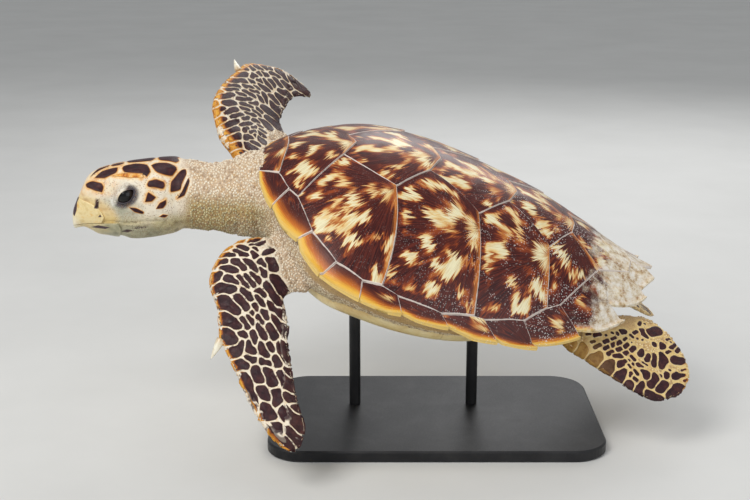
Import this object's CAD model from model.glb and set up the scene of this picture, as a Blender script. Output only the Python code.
import math
import bmesh
import bpy
import numpy as np
from mathutils import Euler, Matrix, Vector, noise
from mathutils.bvhtree import BVHTree
from mathutils.kdtree import KDTree


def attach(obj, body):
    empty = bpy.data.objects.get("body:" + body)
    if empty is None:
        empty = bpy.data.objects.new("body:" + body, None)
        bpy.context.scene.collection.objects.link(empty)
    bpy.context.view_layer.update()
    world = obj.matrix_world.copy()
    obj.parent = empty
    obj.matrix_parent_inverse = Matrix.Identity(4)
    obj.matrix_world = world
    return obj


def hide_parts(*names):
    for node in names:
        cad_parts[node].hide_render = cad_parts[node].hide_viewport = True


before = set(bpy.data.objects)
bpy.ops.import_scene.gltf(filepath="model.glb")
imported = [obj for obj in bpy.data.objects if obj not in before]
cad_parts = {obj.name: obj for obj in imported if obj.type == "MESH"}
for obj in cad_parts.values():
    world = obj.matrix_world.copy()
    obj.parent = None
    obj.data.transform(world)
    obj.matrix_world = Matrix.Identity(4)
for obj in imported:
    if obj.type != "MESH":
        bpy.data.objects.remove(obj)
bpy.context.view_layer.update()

mm = 0.001
# Where the swimming body sits: metres, with the shell's own frame in shares of its length.
body = {"length": 0.5, "yaw": 1.6, "pitch": 16.4, "bank": 17.9, "nose": (-0.222, 0.0, 0.307)}
turned = np.array(Euler([math.radians(body[k]) for k in ("bank", "pitch", "yaw")], "XYZ").to_matrix())
nose = np.array(body["nose"])


def inShell(points):
    # shares along, across and up to metres
    return np.asarray(points, float) * body["length"] @ turned.T + nose


def backToShell(points):
    return (np.asarray(points, float) - nose) @ turned / body["length"]


def shellWay(along, across, up):
    way = turned @ np.array([along, across, up], float)
    return way / np.linalg.norm(way)


def through(rows):
    # a smooth function through rows of place and value
    place, value = np.array(rows, float).T
    ahead = np.append(np.arange(1, len(rows)), len(rows) - 1)
    behind = np.append(0, np.arange(len(rows) - 1))
    slope = (value[ahead] - value[behind]) / (place[ahead] - place[behind])

    def at(x):
        x = np.clip(x, place[0], place[-1])
        i = np.clip(np.searchsorted(place, x, side="left") - 1, 0, len(rows) - 2)
        span = place[i + 1] - place[i]
        t = (x - place[i]) / span
        rise = t * t * (3 - 2 * t)
        ease = t * (1 - t) ** 2 * span * slope[i] - t * t * (1 - t) * span * slope[i + 1]
        return value[i] * (1 - rise) + value[i + 1] * rise + ease
    return at


def smooth(low, high, x):
    t = np.clip((np.asarray(x, float) - low) / (high - low), 0, 1)
    return t * t * (3 - 2 * t)


def lengths(rows):
    return np.linalg.norm(rows, axis=1)


# The carapace from above and from the side.
dome = {
    "halfWidth": through([
        (0, 0.085), (0.03, 0.125), (0.08, 0.198), (0.15, 0.285), (0.22, 0.35), (0.3, 0.38), (0.4, 0.388),
        (0.5, 0.38), (0.6, 0.358), (0.7, 0.322), (0.8, 0.265), (0.9, 0.183), (1, 0.05)]),
    "rim": through([(0, 0.052), (0.15, 0.033), (0.4, -0.004), (0.7, -0.024), (0.85, -0.009), (0.93, 0.01), (1, 0.05)]),
    "keel": through([
        (0, 0.06), (0.06, 0.112), (0.15, 0.152), (0.27, 0.186), (0.4, 0.194), (0.55, 0.174),
        (0.7, 0.146), (0.85, 0.094), (0.93, 0.07), (1, 0.056)]),
    "shoulder": 1.7, "fall": 0.9,
}


def domeHeight(along, across):
    rim = dome["rim"](along)
    out = np.minimum(np.abs(across) / dome["halfWidth"](along), 1)
    return rim + (dome["keel"](along) - rim) * (1 - out ** dome["shoulder"]) ** dome["fall"]


class Wire:
    # one output of a node, so that sums of outputs are written as sums
    def __init__(self, tree, socket):
        self.tree, self.socket = tree, socket

    def reckon(self, operation, *values):
        return wired(self.tree, "ShaderNodeMath", dict(enumerate(values)), operation=operation)

    def __add__(self, other):
        return self.reckon("ADD", self, other)

    def __sub__(self, other):
        return self.reckon("SUBTRACT", self, other)

    def __rsub__(self, other):
        return self.reckon("SUBTRACT", other, self)

    def __mul__(self, other):
        return self.reckon("MULTIPLY", self, other)

    def __truediv__(self, other):
        return self.reckon("DIVIDE", self, other)


def feed(value, socket):
    if isinstance(value, Wire):
        value.tree.links.new(value.socket, socket)
    else:
        socket.default_value = (*value, 1) if socket.type == "RGBA" else value


def addNode(tree, kind, inputs, **settings):
    node = tree.nodes.new(kind)
    for key, value in settings.items():
        setattr(node, key, value)
    for key, value in inputs.items():
        feed(value, node.inputs[key])
    return node


def wired(tree, kind, inputs, output=0, **settings):
    return Wire(tree, addNode(tree, kind, inputs, **settings).outputs[output])


def ranged(value, low, high, outLow=0.0, outHigh=1.0):
    return wired(value.tree, "ShaderNodeMapRange", {"Value": value, "From Min": low, "From Max": high, "To Min": outLow,
                                                    "To Max": outHigh}, interpolation_type="SMOOTHSTEP")


def blend(amount, a, b):
    return wired(amount.tree, "ShaderNodeMix", {0: amount, 6: a, 7: b}, 2, data_type="RGBA")


def ramp(value, *stops):
    # stops: place, red, green and blue
    node = addNode(value.tree, "ShaderNodeValToRGB", {0: value})
    line = node.color_ramp
    while len(line.elements) < len(stops):
        line.elements.new(0.5)
    for element, (place, *colour) in zip(line.elements, stops):
        element.position = place
        element.color = (*colour, 1)
    return Wire(value.tree, node.outputs[0])


def noiseOf(vector, scale, detail=3.0, rough=0.6, distort=0.0):
    return wired(vector.tree, "ShaderNodeTexNoise", {"Vector": vector, "Scale": scale, "Detail": detail,
                                                     "Roughness": rough, "Distortion": distort})


def cellsOf(vector, scale, feature="F1"):
    return wired(vector.tree, "ShaderNodeTexVoronoi", {"Vector": vector, "Scale": scale}, feature=feature)


def wavesOf(vector, scale, distort):
    return wired(vector.tree, "ShaderNodeTexWave",
                 {"Vector": vector, "Scale": scale, "Distortion": distort, "Detail": 2.0}, 1)


def combine(x, y, z=0.0):
    return wired(x.tree, "ShaderNodeCombineXYZ", {0: x, 1: y, 2: z})


def split(vector):
    return [Wire(vector.tree, socket) for socket in addNode(vector.tree, "ShaderNodeSeparateXYZ", {0: vector}).outputs]


def attribute(tree, name, output="Vector"):
    return wired(tree, "ShaderNodeAttribute", {}, output, attribute_name=name)


def objectPlace(tree):
    return wired(tree, "ShaderNodeTexCoord", {}, "Object")


def makeGroup(name, ins, outs, work):
    # work turns the group's inputs into its outputs
    group = bpy.data.node_groups.new(name, "ShaderNodeTree")
    for wayName, sockets in (("INPUT", ins), ("OUTPUT", outs)):
        for socketName, kind in sockets.items():
            group.interface.new_socket(socketName, in_out=wayName, socket_type="NodeSocket" + kind)
    inside, outside = group.nodes.new("NodeGroupInput"), group.nodes.new("NodeGroupOutput")
    for key, value in work(group, *[Wire(group, inside.outputs[key]) for key in ins]).items():
        feed(value, outside.inputs[key])
    return group


def placeGroup(tree, group, values):
    return [Wire(tree, socket) for socket in addNode(tree, "ShaderNodeGroup", values, node_tree=group).outputs]


def weather(group, scale, amount):
    # dust, dried spots and small scratches that dull a surface here and there
    place = objectPlace(group)
    return {"Mask": ranged(noiseOf(place, scale, 5.0, 0.62, 0.3), 0.4, 0.75) * amount,
            "Fine": noiseOf(place, scale * 14.0, 3.0, 0.7)}


wearGroup = makeGroup("weatheredFilm", {"Scale": "Float", "Amount": "Float"}, {"Mask": "Float", "Fine": "Float"},
                      weather)


def worn(tree, scale, amount):
    return placeGroup(tree, wearGroup, {"Scale": scale, "Amount": amount})


def startMaterial(name, values=None):
    # values: what the shader's own inputs are set to
    material = bpy.data.materials.new(name)
    material.use_nodes = True
    tree = material.node_tree
    for key, value in (values or {}).items():
        tree.nodes["Principled BSDF"].inputs[key].default_value = value
    return material, tree, objectPlace(tree)


def endMaterial(material, colour, gloss=None, height=None, strength=0.0, distance=0.0):
    tree = material.node_tree
    inputs = tree.nodes["Principled BSDF"].inputs
    feed(colour, inputs["Base Color"])
    if gloss is not None:
        feed(gloss, inputs["Roughness"])
    if height is not None:
        bump = wired(tree, "ShaderNodeBump", {"Height": height, "Strength": strength, "Distance": distance})
        feed(bump, inputs["Normal"])
    return material


def finishPiece(obj, material, slotName, *nodes):
    obj.data.materials.clear()
    obj.data.materials.append(material)
    for polygon in obj.data.polygons:
        polygon.use_smooth = True
    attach(obj, "root")
    if nodes:
        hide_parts(*nodes)
    return obj


def linked(obj):
    bpy.context.scene.collection.objects.link(obj)
    return obj


def objectFrom(bm, name):
    mesh = bpy.data.meshes.new(name)
    bm.to_mesh(mesh)
    bm.free()
    return linked(bpy.data.objects.new(name, mesh))


def vertsOf(bm):
    return np.array([v.co for v in bm.verts])


def shaped(bm, points):
    # every vertex put in its place, and the normals outwards
    for v, p in zip(bm.verts, points):
        v.co = p
    bmesh.ops.recalc_face_normals(bm, faces=bm.faces[:])
    return bm


def pointsOf(mesh):
    flat = np.zeros(len(mesh.vertices) * 3, np.float32)
    mesh.vertices.foreach_get("co", flat)
    return flat.reshape(-1, 3).astype(float)


def setPoints(mesh, points):
    mesh.vertices.foreach_set("co", points.astype(np.float32).ravel())


def setAttribute(mesh, name, *columns):
    kind, key = ("FLOAT", "value") if len(columns) == 1 else ("FLOAT_VECTOR", "vector")
    values = np.column_stack(np.broadcast_arrays(*columns))
    mesh.attributes.new(name, kind, "POINT").data.foreach_set(key, values.astype(np.float32).ravel())


def pathAcross(points, a, b):
    # how far along the line from a to b each point lies, as a share
    return np.clip(((points - a) @ (b - a)) / max((b - a) @ (b - a), 1e-12), 0, 1)


# Scutes: their corners as shares of the shell's length, on the left, and how their edges are made.
plateMake = {
    "fine": 7, "grid": 0.0024, "inset": 0.00022, "thickness": 0.0028, "frontLift": 0.00022, "rearLift": 0.0021,
    "edgeRound": 0.0011, "edgeDrop": 0.00075, "wander": 0.0011, "swell": 0.0003,
}
corner = {
    "nuchalFront": (0, 0), "nuchalOuter": (0.016, 0.059), "nuchalRear": (0.066, 0), "firstTip": (0.115, 0.166),
    "waist": [(0.193, 0.047), (0.392, 0.056), (0.591, 0.049), (0.761, 0.04)],
    "apex": [(0.32, 0.132), (0.52, 0.126), (0.702, 0.122)],
    "keel": [(0.215, 0), (0.415, 0), (0.612, 0), (0.77, 0), (0.935, 0)],
    "costalRim": [(0.337, 0.349), (0.552, 0.336), (0.72, 0.251)],
    "notch": (0.975, 0.002), "tailTip": (0.999, 0.026),
}
rimInner = [
    (0.062, 0.091), (0.093, 0.142), (0.165, 0.256), (0.229, 0.323), (0.293, 0.349), (0.374, 0.357),
    (0.477, 0.358), (0.576, 0.333), (0.669, 0.298), (0.751, 0.23), (0.844, 0.094), (0.925, 0.048),
]
rimOuter = [
    (0.064, 0.172), (0.136, 0.264), (0.198, 0.353), (0.296, 0.382), (0.394, 0.383), (0.504, 0.373),
    (0.621, 0.355), (0.716, 0.331), (0.819, 0.257), (0.926, 0.172), (0.979, 0.09),
]
spikeStep = [0.003, 0.003, 0.003, 0.003, 0.004, 0.007, 0.013, 0.017, 0.02, 0.034, 0.022]
leaningStart = {10: (0.877, 0.158)}
bow = {"rim": 0.05, "costal": [0.012, 0.005, 0], "flank": 0.006, "waist": -0.006}
steps = {key: value * plateMake["fine"] for key, value in
         {"half": 3, "costal": 5, "flank": 3, "rim": 2, "radial": 2, "one": 1}.items()}


def seam(a, b, count, bend=0.0):
    a, b = np.array(a, float), np.array(b, float)
    side = np.array([a[1] - b[1], b[0] - a[0]]) / np.linalg.norm(b - a)
    t = np.linspace(0, 1, count + 1)[:, None]
    return a + (b - a) * t + side * (4 * t * (1 - t) * bend)


def joined(*seams):
    return np.vstack([seams[0]] + [part[1:] for part in seams[1:]])


def seamChain(stops):
    return joined(*[seam(a, b, steps["rim"]) for a, b in zip(stops, stops[1:])])


def mirrored(points):
    return np.asarray(points) * [1, -1]


def acrossKeel(edge, middle):
    half = seam(edge, middle, steps["half"])
    return joined(mirrored(half), half[::-1])


waist, apex, keel, costalRim = (corner[k] for k in ("waist", "apex", "keel", "costalRim"))
firstCostal = seam(waist[0], corner["firstTip"], steps["costal"])
lastCostal = seam(waist[3], rimInner[10], steps["costal"])
flankFirst = seam(waist[0], apex[0], steps["rim"] * 4, bow["flank"])
flankLast = seam(apex[2], waist[3], steps["rim"] * 2)
# from each waist to the next apex and from each apex to the next waist
toApex = {i: seam(waist[i], apex[i], steps["flank"], bow["waist"]) for i in (1, 2)}
fromApex = [seam(apex[i], waist[i + 1], steps["flank"]) for i in range(2)]
vertebralSide = [
    joined(seamChain([rimInner[0], rimInner[1], corner["firstTip"]]), firstCostal[::-1]),
    joined(flankFirst, fromApex[0]), joined(toApex[1], fromApex[1]),
    joined(toApex[2], flankLast), joined(lastCostal, seamChain([rimInner[10], rimInner[11]])),
]
crossSeams = [acrossKeel(edge, middle) for edge, middle in
              zip([rimInner[0], *waist, rimInner[11]], [corner["nuchalRear"], *keel])]
costalSeam = [firstCostal, *[seam(apex[i], costalRim[i], steps["costal"], -bow["costal"][i]) for i in range(3)],
              lastCostal]
costalInner = [flankFirst, joined(fromApex[0], toApex[1]), joined(fromApex[1], toApex[2]), flankLast]
costalOuter = [seamChain(stops) for stops in [
    [corner["firstTip"], rimInner[2], rimInner[3], rimInner[4], costalRim[0]],
    [costalRim[0], rimInner[5], rimInner[6], costalRim[1]],
    [costalRim[1], rimInner[7], rimInner[8], costalRim[2]],
    [costalRim[2], rimInner[9], rimInner[10]]]]
extraStop = {1: corner["firstTip"], 4: costalRim[0], 6: costalRim[1], 8: costalRim[2]}


def startOfNext(i):
    # where the next marginal's outer edge starts, just inside this one's rear corner
    if i + 1 in leaningStart:
        return leaningStart[i + 1]
    root, tip = np.array(rimInner[i + 1]), np.array(rimOuter[i])
    return tip + (root - tip) * spikeStep[i] / np.linalg.norm(root - tip)


rimStart = [corner["nuchalOuter"]] + [startOfNext(i) for i in range(11)]


def rearOfMarginal(i):
    if spikeStep[i] < 0.01:
        return seam(rimInner[i + 1], rimOuter[i], steps["radial"])
    return joined(seam(rimInner[i + 1], rimStart[i + 1], steps["one"]),
                  seam(rimStart[i + 1], rimOuter[i], steps["one"]))


def scuteEdges():
    # name, the four seams, where growth starts [along, across] as shares of the plate, and 1 for a marginal
    side = seam(corner["nuchalOuter"], rimInner[0], steps["radial"])
    yield ("nuchal", acrossKeel(corner["nuchalOuter"], corner["nuchalFront"]), crossSeams[0],
           mirrored(side), side, (0.95, 0.5), 0.25)
    for i, side in enumerate(vertebralSide):
        yield f"vertebral_{i + 1}", crossSeams[i], crossSeams[i + 1], mirrored(side), side, (0.97, 0.5), 0.0
    for name, turn in (("left", mirrored), ("right", np.asarray)):
        for i in range(4):
            yield (f"costal_{name}_{i + 1}", turn(costalSeam[i]), turn(costalSeam[i + 1]), turn(costalInner[i]),
                   turn(costalOuter[i]), (0.99, 0.2 if i else 0.04), 0.0)
        for i in range(11):
            inner = seamChain([rimInner[i], *([extraStop[i]] if i in extraStop else []), rimInner[i + 1]])
            reach = np.linalg.norm(np.subtract(rimOuter[i], rimStart[i]))
            yield (f"marginal_{name}_{i + 1}", turn(seam(rimInner[i], rimStart[i], steps["radial"])),
                   turn(rearOfMarginal(i)), turn(inner),
                   turn(seam(rimStart[i], rimOuter[i], len(inner) - 1, bow["rim"] * reach)), (1.0, 0.85), 1.0)
        yield (f"supracaudal_{name}", turn(seam(rimInner[11], rimStart[11], steps["radial"])),
               turn(joined(seam(keel[4], corner["notch"], steps["one"]),
                           seam(corner["notch"], corner["tailTip"], steps["one"]))),
               turn(seam(rimInner[11], keel[4], steps["half"])),
               turn(seam(rimStart[11], corner["tailTip"], steps["half"])), (1.0, 0.85), 1.0)


def wandering(points):
    # seams stray a little from their drawn line, the same way on both sides of a seam
    shift = np.array([[noise.noise((u * 26, v * 26, 3.1)), noise.noise((u * 26, v * 26, 9.7))] for u, v in points])
    return points + shift * plateMake["wander"]


def spacing(length):
    # even steps, with close rows at both ends for the rounded edge
    close = [0, 0.0002 / length, 0.0005 / length, plateMake["edgeRound"] / length]
    step = plateMake["grid"] / length
    even = np.linspace(step, 1 - step, max(int(length / plateMake["grid"]), 8))
    return np.array([*close, *even, *[1 - c for c in close[::-1]]])


def makeScute(name, front, rear, inner, outer, growth, kind, number):
    side = lambda line, t: np.column_stack(
        [np.interp(t * (len(line) - 1), np.arange(len(line)), part) for part in line.T])

    def patch(s, t):
        ruled = (side(inner, s) * (1 - t)[:, None] + side(outer, s) * t[:, None]
                 + side(front, t) * (1 - s)[:, None] + side(rear, t) * s[:, None])
        a, b, c, d = front[0], front[-1], rear[0], rear[-1]
        corners = ((a * (1 - t)[:, None] + b * t[:, None]) * (1 - s)[:, None]
                   + (c * (1 - t)[:, None] + d * t[:, None]) * s[:, None])
        return ruled - corners

    spanOf = lambda line: lengths(np.diff(line, axis=0)).sum() * body["length"]
    sAll = spacing(max(spanOf(inner), spanOf(outer)))
    tAll = spacing(max(spanOf(front), spanOf(rear)))
    bm = bmesh.new()
    bmesh.ops.create_grid(bm, x_segments=len(tAll) - 1, y_segments=len(sAll) - 1, size=0.5)
    low = set(bm.verts)
    bmesh.ops.extrude_face_region(bm, geom=bm.faces[:], use_keep_orig=True)
    high = np.array([v not in low for v in bm.verts])
    flat = vertsOf(bm)[:, :2] + 0.5
    s = sAll[np.rint(flat[:, 1] * (len(sAll) - 1)).astype(int)]
    t = tAll[np.rint(flat[:, 0] * (len(tAll) - 1)).astype(int)]
    zero, one = np.zeros_like(s), np.ones_like(s)
    flatPoints = wandering(patch(s, t))
    on = lambda p: inShell(np.column_stack([p, domeHeight(p[:, 0], p[:, 1])]))
    here = on(flatPoints)
    away = lambda a, b: lengths(here - on(wandering(patch(a, b))))
    dFront, dRear, dInner, dOuter = away(zero, t), away(one, t), away(s, zero), away(s, one)
    rim = np.minimum.reduce([dFront, dRear, dInner, dOuter])
    # draw the border in, so that a thin seam stays open
    pull = plateMake["inset"] / body["length"]
    inward = np.zeros_like(flatPoints)
    for d, (a, b) in ((dFront, (0.06, 0)), (dRear, (-0.06, 0)), (dInner, (0, 0.06)), (dOuter, (0, -0.06))):
        near = patch(np.clip(s + a, 0, 1), np.clip(t + b, 0, 1)) - patch(s, t)
        far = lengths(near)[:, None]
        inward += np.where((d < 1e-7)[:, None] & (far > 1e-9), near / np.maximum(far, 1e-9) * pull, 0)
    flatPoints = flatPoints + inward
    lift = plateMake["frontLift"] + plateMake["rearLift"] * s ** 1.5
    drop = plateMake["edgeDrop"] * (1 - np.sqrt(1 - (1 - np.minimum(rim / plateMake["edgeRound"], 1)) ** 2))
    swell = np.array([noise.noise((u * 30, v * 30, number)) for u, v in flatPoints]) * smooth(0, 0.006, rim)
    up = np.where(high, lift - drop + plateMake["swell"] * (swell - 1), -plateMake["thickness"])
    height = domeHeight(flatPoints[:, 0], flatPoints[:, 1]) + up / body["length"]
    obj = objectFrom(shaped(bm, inShell(np.column_stack([flatPoints, height]))), "plate_" + name)
    start = wandering(patch(*np.array(growth, float)[:, None]))
    ray = flatPoints - start
    turnSign = -1 if "left" in name else 1
    setAttribute(obj.data, "fan", np.arctan2(ray[:, 1] * turnSign, -ray[:, 0]), lengths(here - on(start)), number * 3.7)
    setAttribute(obj.data, "rim", rim, dRear, np.where(kind > 0.5, dOuter, 1.0))
    setAttribute(obj.data, "place", *flatPoints.T, float(kind))
    return obj


shellLook = {"streaks": 20.0, "flames": 47.0, "gloss": (0.26, 0.4), "amberRear": 0.75, "bleach": 0.9, "specks": 0.7,
             "seams": 0.9}


def makeTortoiseshell():
    material, tree, objectAt = startMaterial(
        "tortoiseshell", {"Specular IOR Level": 0.22, "Coat Weight": 0.1, "Coat Roughness": 0.18})
    (angle, radius, seed), rim, place = (split(attribute(tree, key)) for key in ("fan", "rim", "place"))
    streak = noiseOf(combine(angle * shellLook["streaks"], radius * 16.0, seed), 1.0, 4.0)
    fine = noiseOf(combine(angle * 70.0, radius * 40.0, seed), 1.0)
    jag = radius + (streak - 0.5) * 0.042 + (fine - 0.5) * 0.016
    flame = combine(jag * angle.reckon("COSINE", angle), jag * angle.reckon("SINE", angle), seed)
    bias = (ranged(radius, 0.01, 0.05, -0.03, -0.002)
            + ranged(rim[0], 0.004, 0.011, -0.09, 0.0) * ranged(rim[1], 0.004, 0.016))
    # marginals carry fewer pale patches
    value = noiseOf(flame, shellLook["flames"], 1.5, 0.45, 0.2) + bias - place[2] * 0.09
    deep = blend(ranged(fine, 0.35, 0.7), (0.022, 0.003, 0.004), (0.13, 0.02, 0.01))
    shell = ramp(value, (0.0, 0.03, 0.004, 0.006), (0.455, 0.06, 0.008, 0.006), (0.515, 0.25, 0.045, 0.01),
                 (0.545, 0.46, 0.15, 0.03), (0.575, 0.72, 0.5, 0.2), (0.64, 0.76, 0.7, 0.46))
    shell = blend(ranged(value, 0.44, 0.5, 1.0, 0.0) * 0.85, shell, deep)
    # fine streaks run through the pale patches too
    shell = blend(ranged(value, 0.55, 0.6) * ranged(fine, 0.48, 0.62) * 0.5, shell, (0.5, 0.36, 0.16))
    # amber rear edges
    rearMask = ranged(rim[1] + (streak - 0.5) * 0.012, 0.0015, 0.007, 1.0, 0.0) * (1.0 - place[2])
    shell = blend(rearMask * shellLook["amberRear"], shell, (0.5, 0.16, 0.025))
    # glowing outer border of the marginals
    border = rim[2] + (fine - 0.5) * 0.008
    border = border * ranged(place[0], 0.26, 0.42, 1.0, 2.4) * ranged(place[0], 0.03, 0.1, 2.2, 1.0)
    warm = ramp(border * 40.0, (0.0, 0.7, 0.5, 0.16), (0.22, 0.75, 0.42, 0.05), (0.42, 0.5, 0.13, 0.012),
                (0.7, 0.13, 0.022, 0.006), (0.95, 0.04, 0.007, 0.006))
    shell = blend(ranged(border, 0.018, 0.03, 1.0, 0.0) * place[2], shell, warm)
    # bleached rear
    bleach = ranged(ranged(place[0], 0.7, 0.97, -0.28, 0.5) + noiseOf(objectAt, 52.0, 5.0, 0.7), 0.48, 0.8)
    frost = ramp(noiseOf(objectAt, 120.0, 5.0, 0.7), (0.35, 0.34, 0.2, 0.09), (0.48, 0.66, 0.56, 0.4),
                 (0.62, 0.8, 0.76, 0.68))
    shell = blend(bleach * shellLook["bleach"], shell, frost)
    # chalky specks
    specks = ranged(cellsOf(objectAt, 420.0), 0.22, 0.34, 1.0, 0.0)
    specks = specks * ranged(noiseOf(objectAt, 34.0, 4.0, 0.65), 0.42, 0.58) * ranged(place[0], 0.3, 0.72, 0.12, 1.0)
    shell = blend(specks * shellLook["specks"], shell, (0.7, 0.66, 0.62))
    # worn pale seam
    seamMask = ranged(rim[0] + (noiseOf(objectAt, 190.0, 3.0, 0.55) - 0.5) * 0.0011, 0.0006, 0.00105, 1.0, 0.0)
    shell = blend(seamMask * ranged(rim[2], 0.0012, 0.0035) * shellLook["seams"], shell, (0.74, 0.66, 0.6))
    film, dust = worn(tree, 45.0, 0.35)
    gloss = ranged(fine, 0.2, 0.8, *shellLook["gloss"]) + film * 0.35 + specks * 0.3
    rings = wavesOf(combine(rim[0] + streak * 0.006, 0.0, seed), 120.0, 2.0)
    return endMaterial(material, shell, gloss, rings * 0.3 + fine * 0.7 + dust * 0.35, 0.35, 0.0006)


tortoiseshell = makeTortoiseshell()
for number, (name, *edges, growth, kind) in enumerate(scuteEdges()):
    finishPiece(makeScute(name, *edges, growth, kind, number), tortoiseshell, "carapace", "scute_" + name)
print("carapace plates made")

# Flesh: smooth bodies drawn over ribs. Lengths in millimetres, but for the coat, the voxel and the folds.
fleshMake = {
    "coat": 0.0008, "voxel": 0.00275, "smoothing": 4, "kept": 0.47, "foldDepth": 0.0026, "nostril": (11.5, 4.5, -12),
    "mouth": ((10, -50), (15.2, -48), (30.1, -43.7), (50.3, -42.6), (66, -44), (81.8, -41.5), (108.2, -41.2)),
    "jawFolds": (((112, -38), (104, -50), 0.9), ((66, -50), (88, -49), 0.8), ((70, -57), (96, -53), 0.6),
                 ((100, -30), (116, -36), 0.6)),
}
plastronRows = [(0.07, 0.07), (0.12, 0.15), (0.2, 0.22), (0.28, 0.315), (0.45, 0.325), (0.58, 0.275), (0.68, 0.17),
                (0.8, 0.115), (0.88, 0.06)]
plastronHalf = through(plastronRows)


def railOf(points):
    points = np.array(points, float)
    ends = np.vstack([2 * points[0] - points[1], points, 2 * points[-1] - points[-2]])

    def at(s):
        last = len(points) - 1
        place = np.clip(s, 0, 1) * last
        i = np.minimum(place.astype(int), last - 1)
        w = (place - i)[:, None]
        p0, p1, p2, p3 = ends[i], ends[i + 1], ends[i + 2], ends[i + 3]
        apart = lambda a, b: np.maximum(((a - b) ** 2).sum(1), 1e-16)[:, None] ** 0.25
        d0, d1, d2 = apart(p0, p1), apart(p1, p2), apart(p2, p3)
        t1 = ((p1 - p0) / d0 - (p2 - p0) / (d0 + d1) + (p2 - p1) / d1) * d1
        t2 = ((p2 - p1) / d1 - (p3 - p1) / (d1 + d2) + (p3 - p2) / d2) * d1
        return p1 + t1 * w + (3 * (p2 - p1) - 2 * t1 - t2) * w ** 2 + (2 * (p1 - p2) + t1 + t2) * w ** 3
    return at


def roundedEnds(s, share):
    near = np.minimum(s, 1 - s)
    return np.where(near < share, np.sqrt(np.clip(1 - (1 - near / share) ** 2, 0, 1)), 1)


def overRibs(ribs, around=56, along=72, square=2.0, taper=0.0, ends=0.06):
    # ribs: rows of edge a, edge b, top and bottom points
    bm = bmesh.new()
    bmesh.ops.create_uvsphere(bm, u_segments=around, v_segments=along, radius=1)
    ball = vertsOf(bm)
    s = np.arccos(np.clip(ball[:, 2], -1, 1)) / math.pi
    turn = np.arctan2(ball[:, 1], ball[:, 0])
    power = lambda x: np.sign(x) * np.abs(x) ** (2 / square) * roundedEnds(s, ends)
    c, e = power(np.cos(turn)), power(np.sin(turn))
    a, b, top, bottom = [railOf([rib[k] for rib in ribs])(s) for k in range(4)]
    middle = (a + b) / 2
    rise = np.where(e[:, None] > 0, top, bottom) - middle
    return shaped(bm, middle + (b - a) * c[:, None] / 2 + rise * (np.abs(e) * (1 - taper * (c + 1) / 2))[:, None])


frontMake = {"square": 2.1, "taper": 0.5, "ends": 0.05}
limbs = {
    "frontLeft": {
        "root": inShell((0.1, -0.2, -0.045)), "span": shellWay(0.362, -0.765, -0.533),
        "chord": shellWay(0.919, 0.196, 0.343), "make": frontMake, "node": "flipper_front_left",
        "rows": [
            ((-14, 34), (56, 40), 40, -10), ((-18, 4), (50, 16), 44, -7), ((-21, -28), (56, 3), 38, -3),
            ((-8, -60), (64, 3), 30, 0), ((26, -79), (76, 5), 23, 1), ((58, -74), (93, 5), 19, 1),
            ((92, -75), (109, 2), 16, 0), ((118, -67), (130, 2), 14, -1), ((148, -59), (155, 2), 12, -2),
            ((178, -49), (182, 4), 10, -3), ((202, -38), (205, 8), 8, -4), ((220, -25), (219, 3), 6, -5),
            ((232, -12), (229, -3), 4, -6)],
    },
    "frontRight": {
        "root": inShell((0.1, 0.2, -0.075)), "span": shellWay(0.6, 0.784, -0.158),
        "chord": shellWay(0.64, -0.589, -0.493), "make": frontMake, "node": "flipper_front_right",
        "rows": [
            ((-64, 24), (34, 20), 44, 8), ((-84, -8), (36, -12), 44, 6), ((-93, -46), (30, -44), 36, 3),
            ((-93, -82), (28, -68), 30, 0), ((-80, -112), (32, -80), 25, 0), ((-50, -137), (40, -88), 20, 0),
            ((-12, -156), (52, -97), 16, 0), ((19, -169), (66, -106), 14, 0), ((51, -167), (84, -114), 11, 0),
            ((80, -161), (98, -115), 9, 0), ((105, -146), (113, -112), 7, 0), ((122, -130), (122, -113), 4, 0)],
    },
}
rearRows = [
    ((0.74, 0.2), (0.8, 0.08), 30), ((0.79, 0.206), (0.87, 0.09), 30), ((0.856, 0.234), (0.926, 0.09), 24),
    ((0.921, 0.258), (0.958, 0.08), 18), ((0.98, 0.282), (1.005, 0.072), 14), ((1.033, 0.289), (1.045, 0.087), 11),
    ((1.074, 0.273), (1.078, 0.111), 9), ((1.104, 0.245), (1.103, 0.144), 7), ((1.12, 0.213), (1.119, 0.182), 4),
]
rearMake = {"square": 2.1, "taper": 0.15, "ends": 0.06}
rearRoot = {"from": 0.8, "middle": 0.14, "up": -0.052, "tilt": -0.372}


def rearLimb(name, side, drop):
    # a rear paddle as a limb in its own plane, in millimetres from its root
    root = inShell((rearRoot["from"], side * rearRoot["middle"], rearRoot["up"]))
    span, chord = shellWay(1, 0, -drop), shellWay(0, -side, -rearRoot["tilt"])
    place = lambda p: inShell((p[0], side * p[1], rearRoot["up"] + rearRoot["tilt"] * (p[1] - rearRoot["middle"])
                               - drop * (p[0] - rearRoot["from"]))) - root
    flat = lambda p: tuple(np.linalg.lstsq(np.column_stack([span, chord]), place(p) / mm, rcond=None)[0])
    return {"root": root, "span": span, "chord": chord, "make": rearMake, "node": "flipper_rear_" + name,
            "rows": [(flat(outer), flat(inner), thick, 0) for outer, inner, thick in rearRows]}


limbs["rearLeft"] = rearLimb("left", -1, 0)
limbs["rearRight"] = rearLimb("right", 1, 0.33)
for limb in limbs.values():
    up = np.cross(limb["span"], limb["chord"])
    up /= np.linalg.norm(up)
    limb["up"] = up if up[2] > 0 else -up


def onLimb(limb, flat, lift=0.0):
    flat = np.asarray(flat, float) * mm
    return (limb["root"] + flat[..., 0:1] * limb["span"] + flat[..., 1:2] * limb["chord"]
            + np.asarray(lift)[..., None] * mm * limb["up"])


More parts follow.
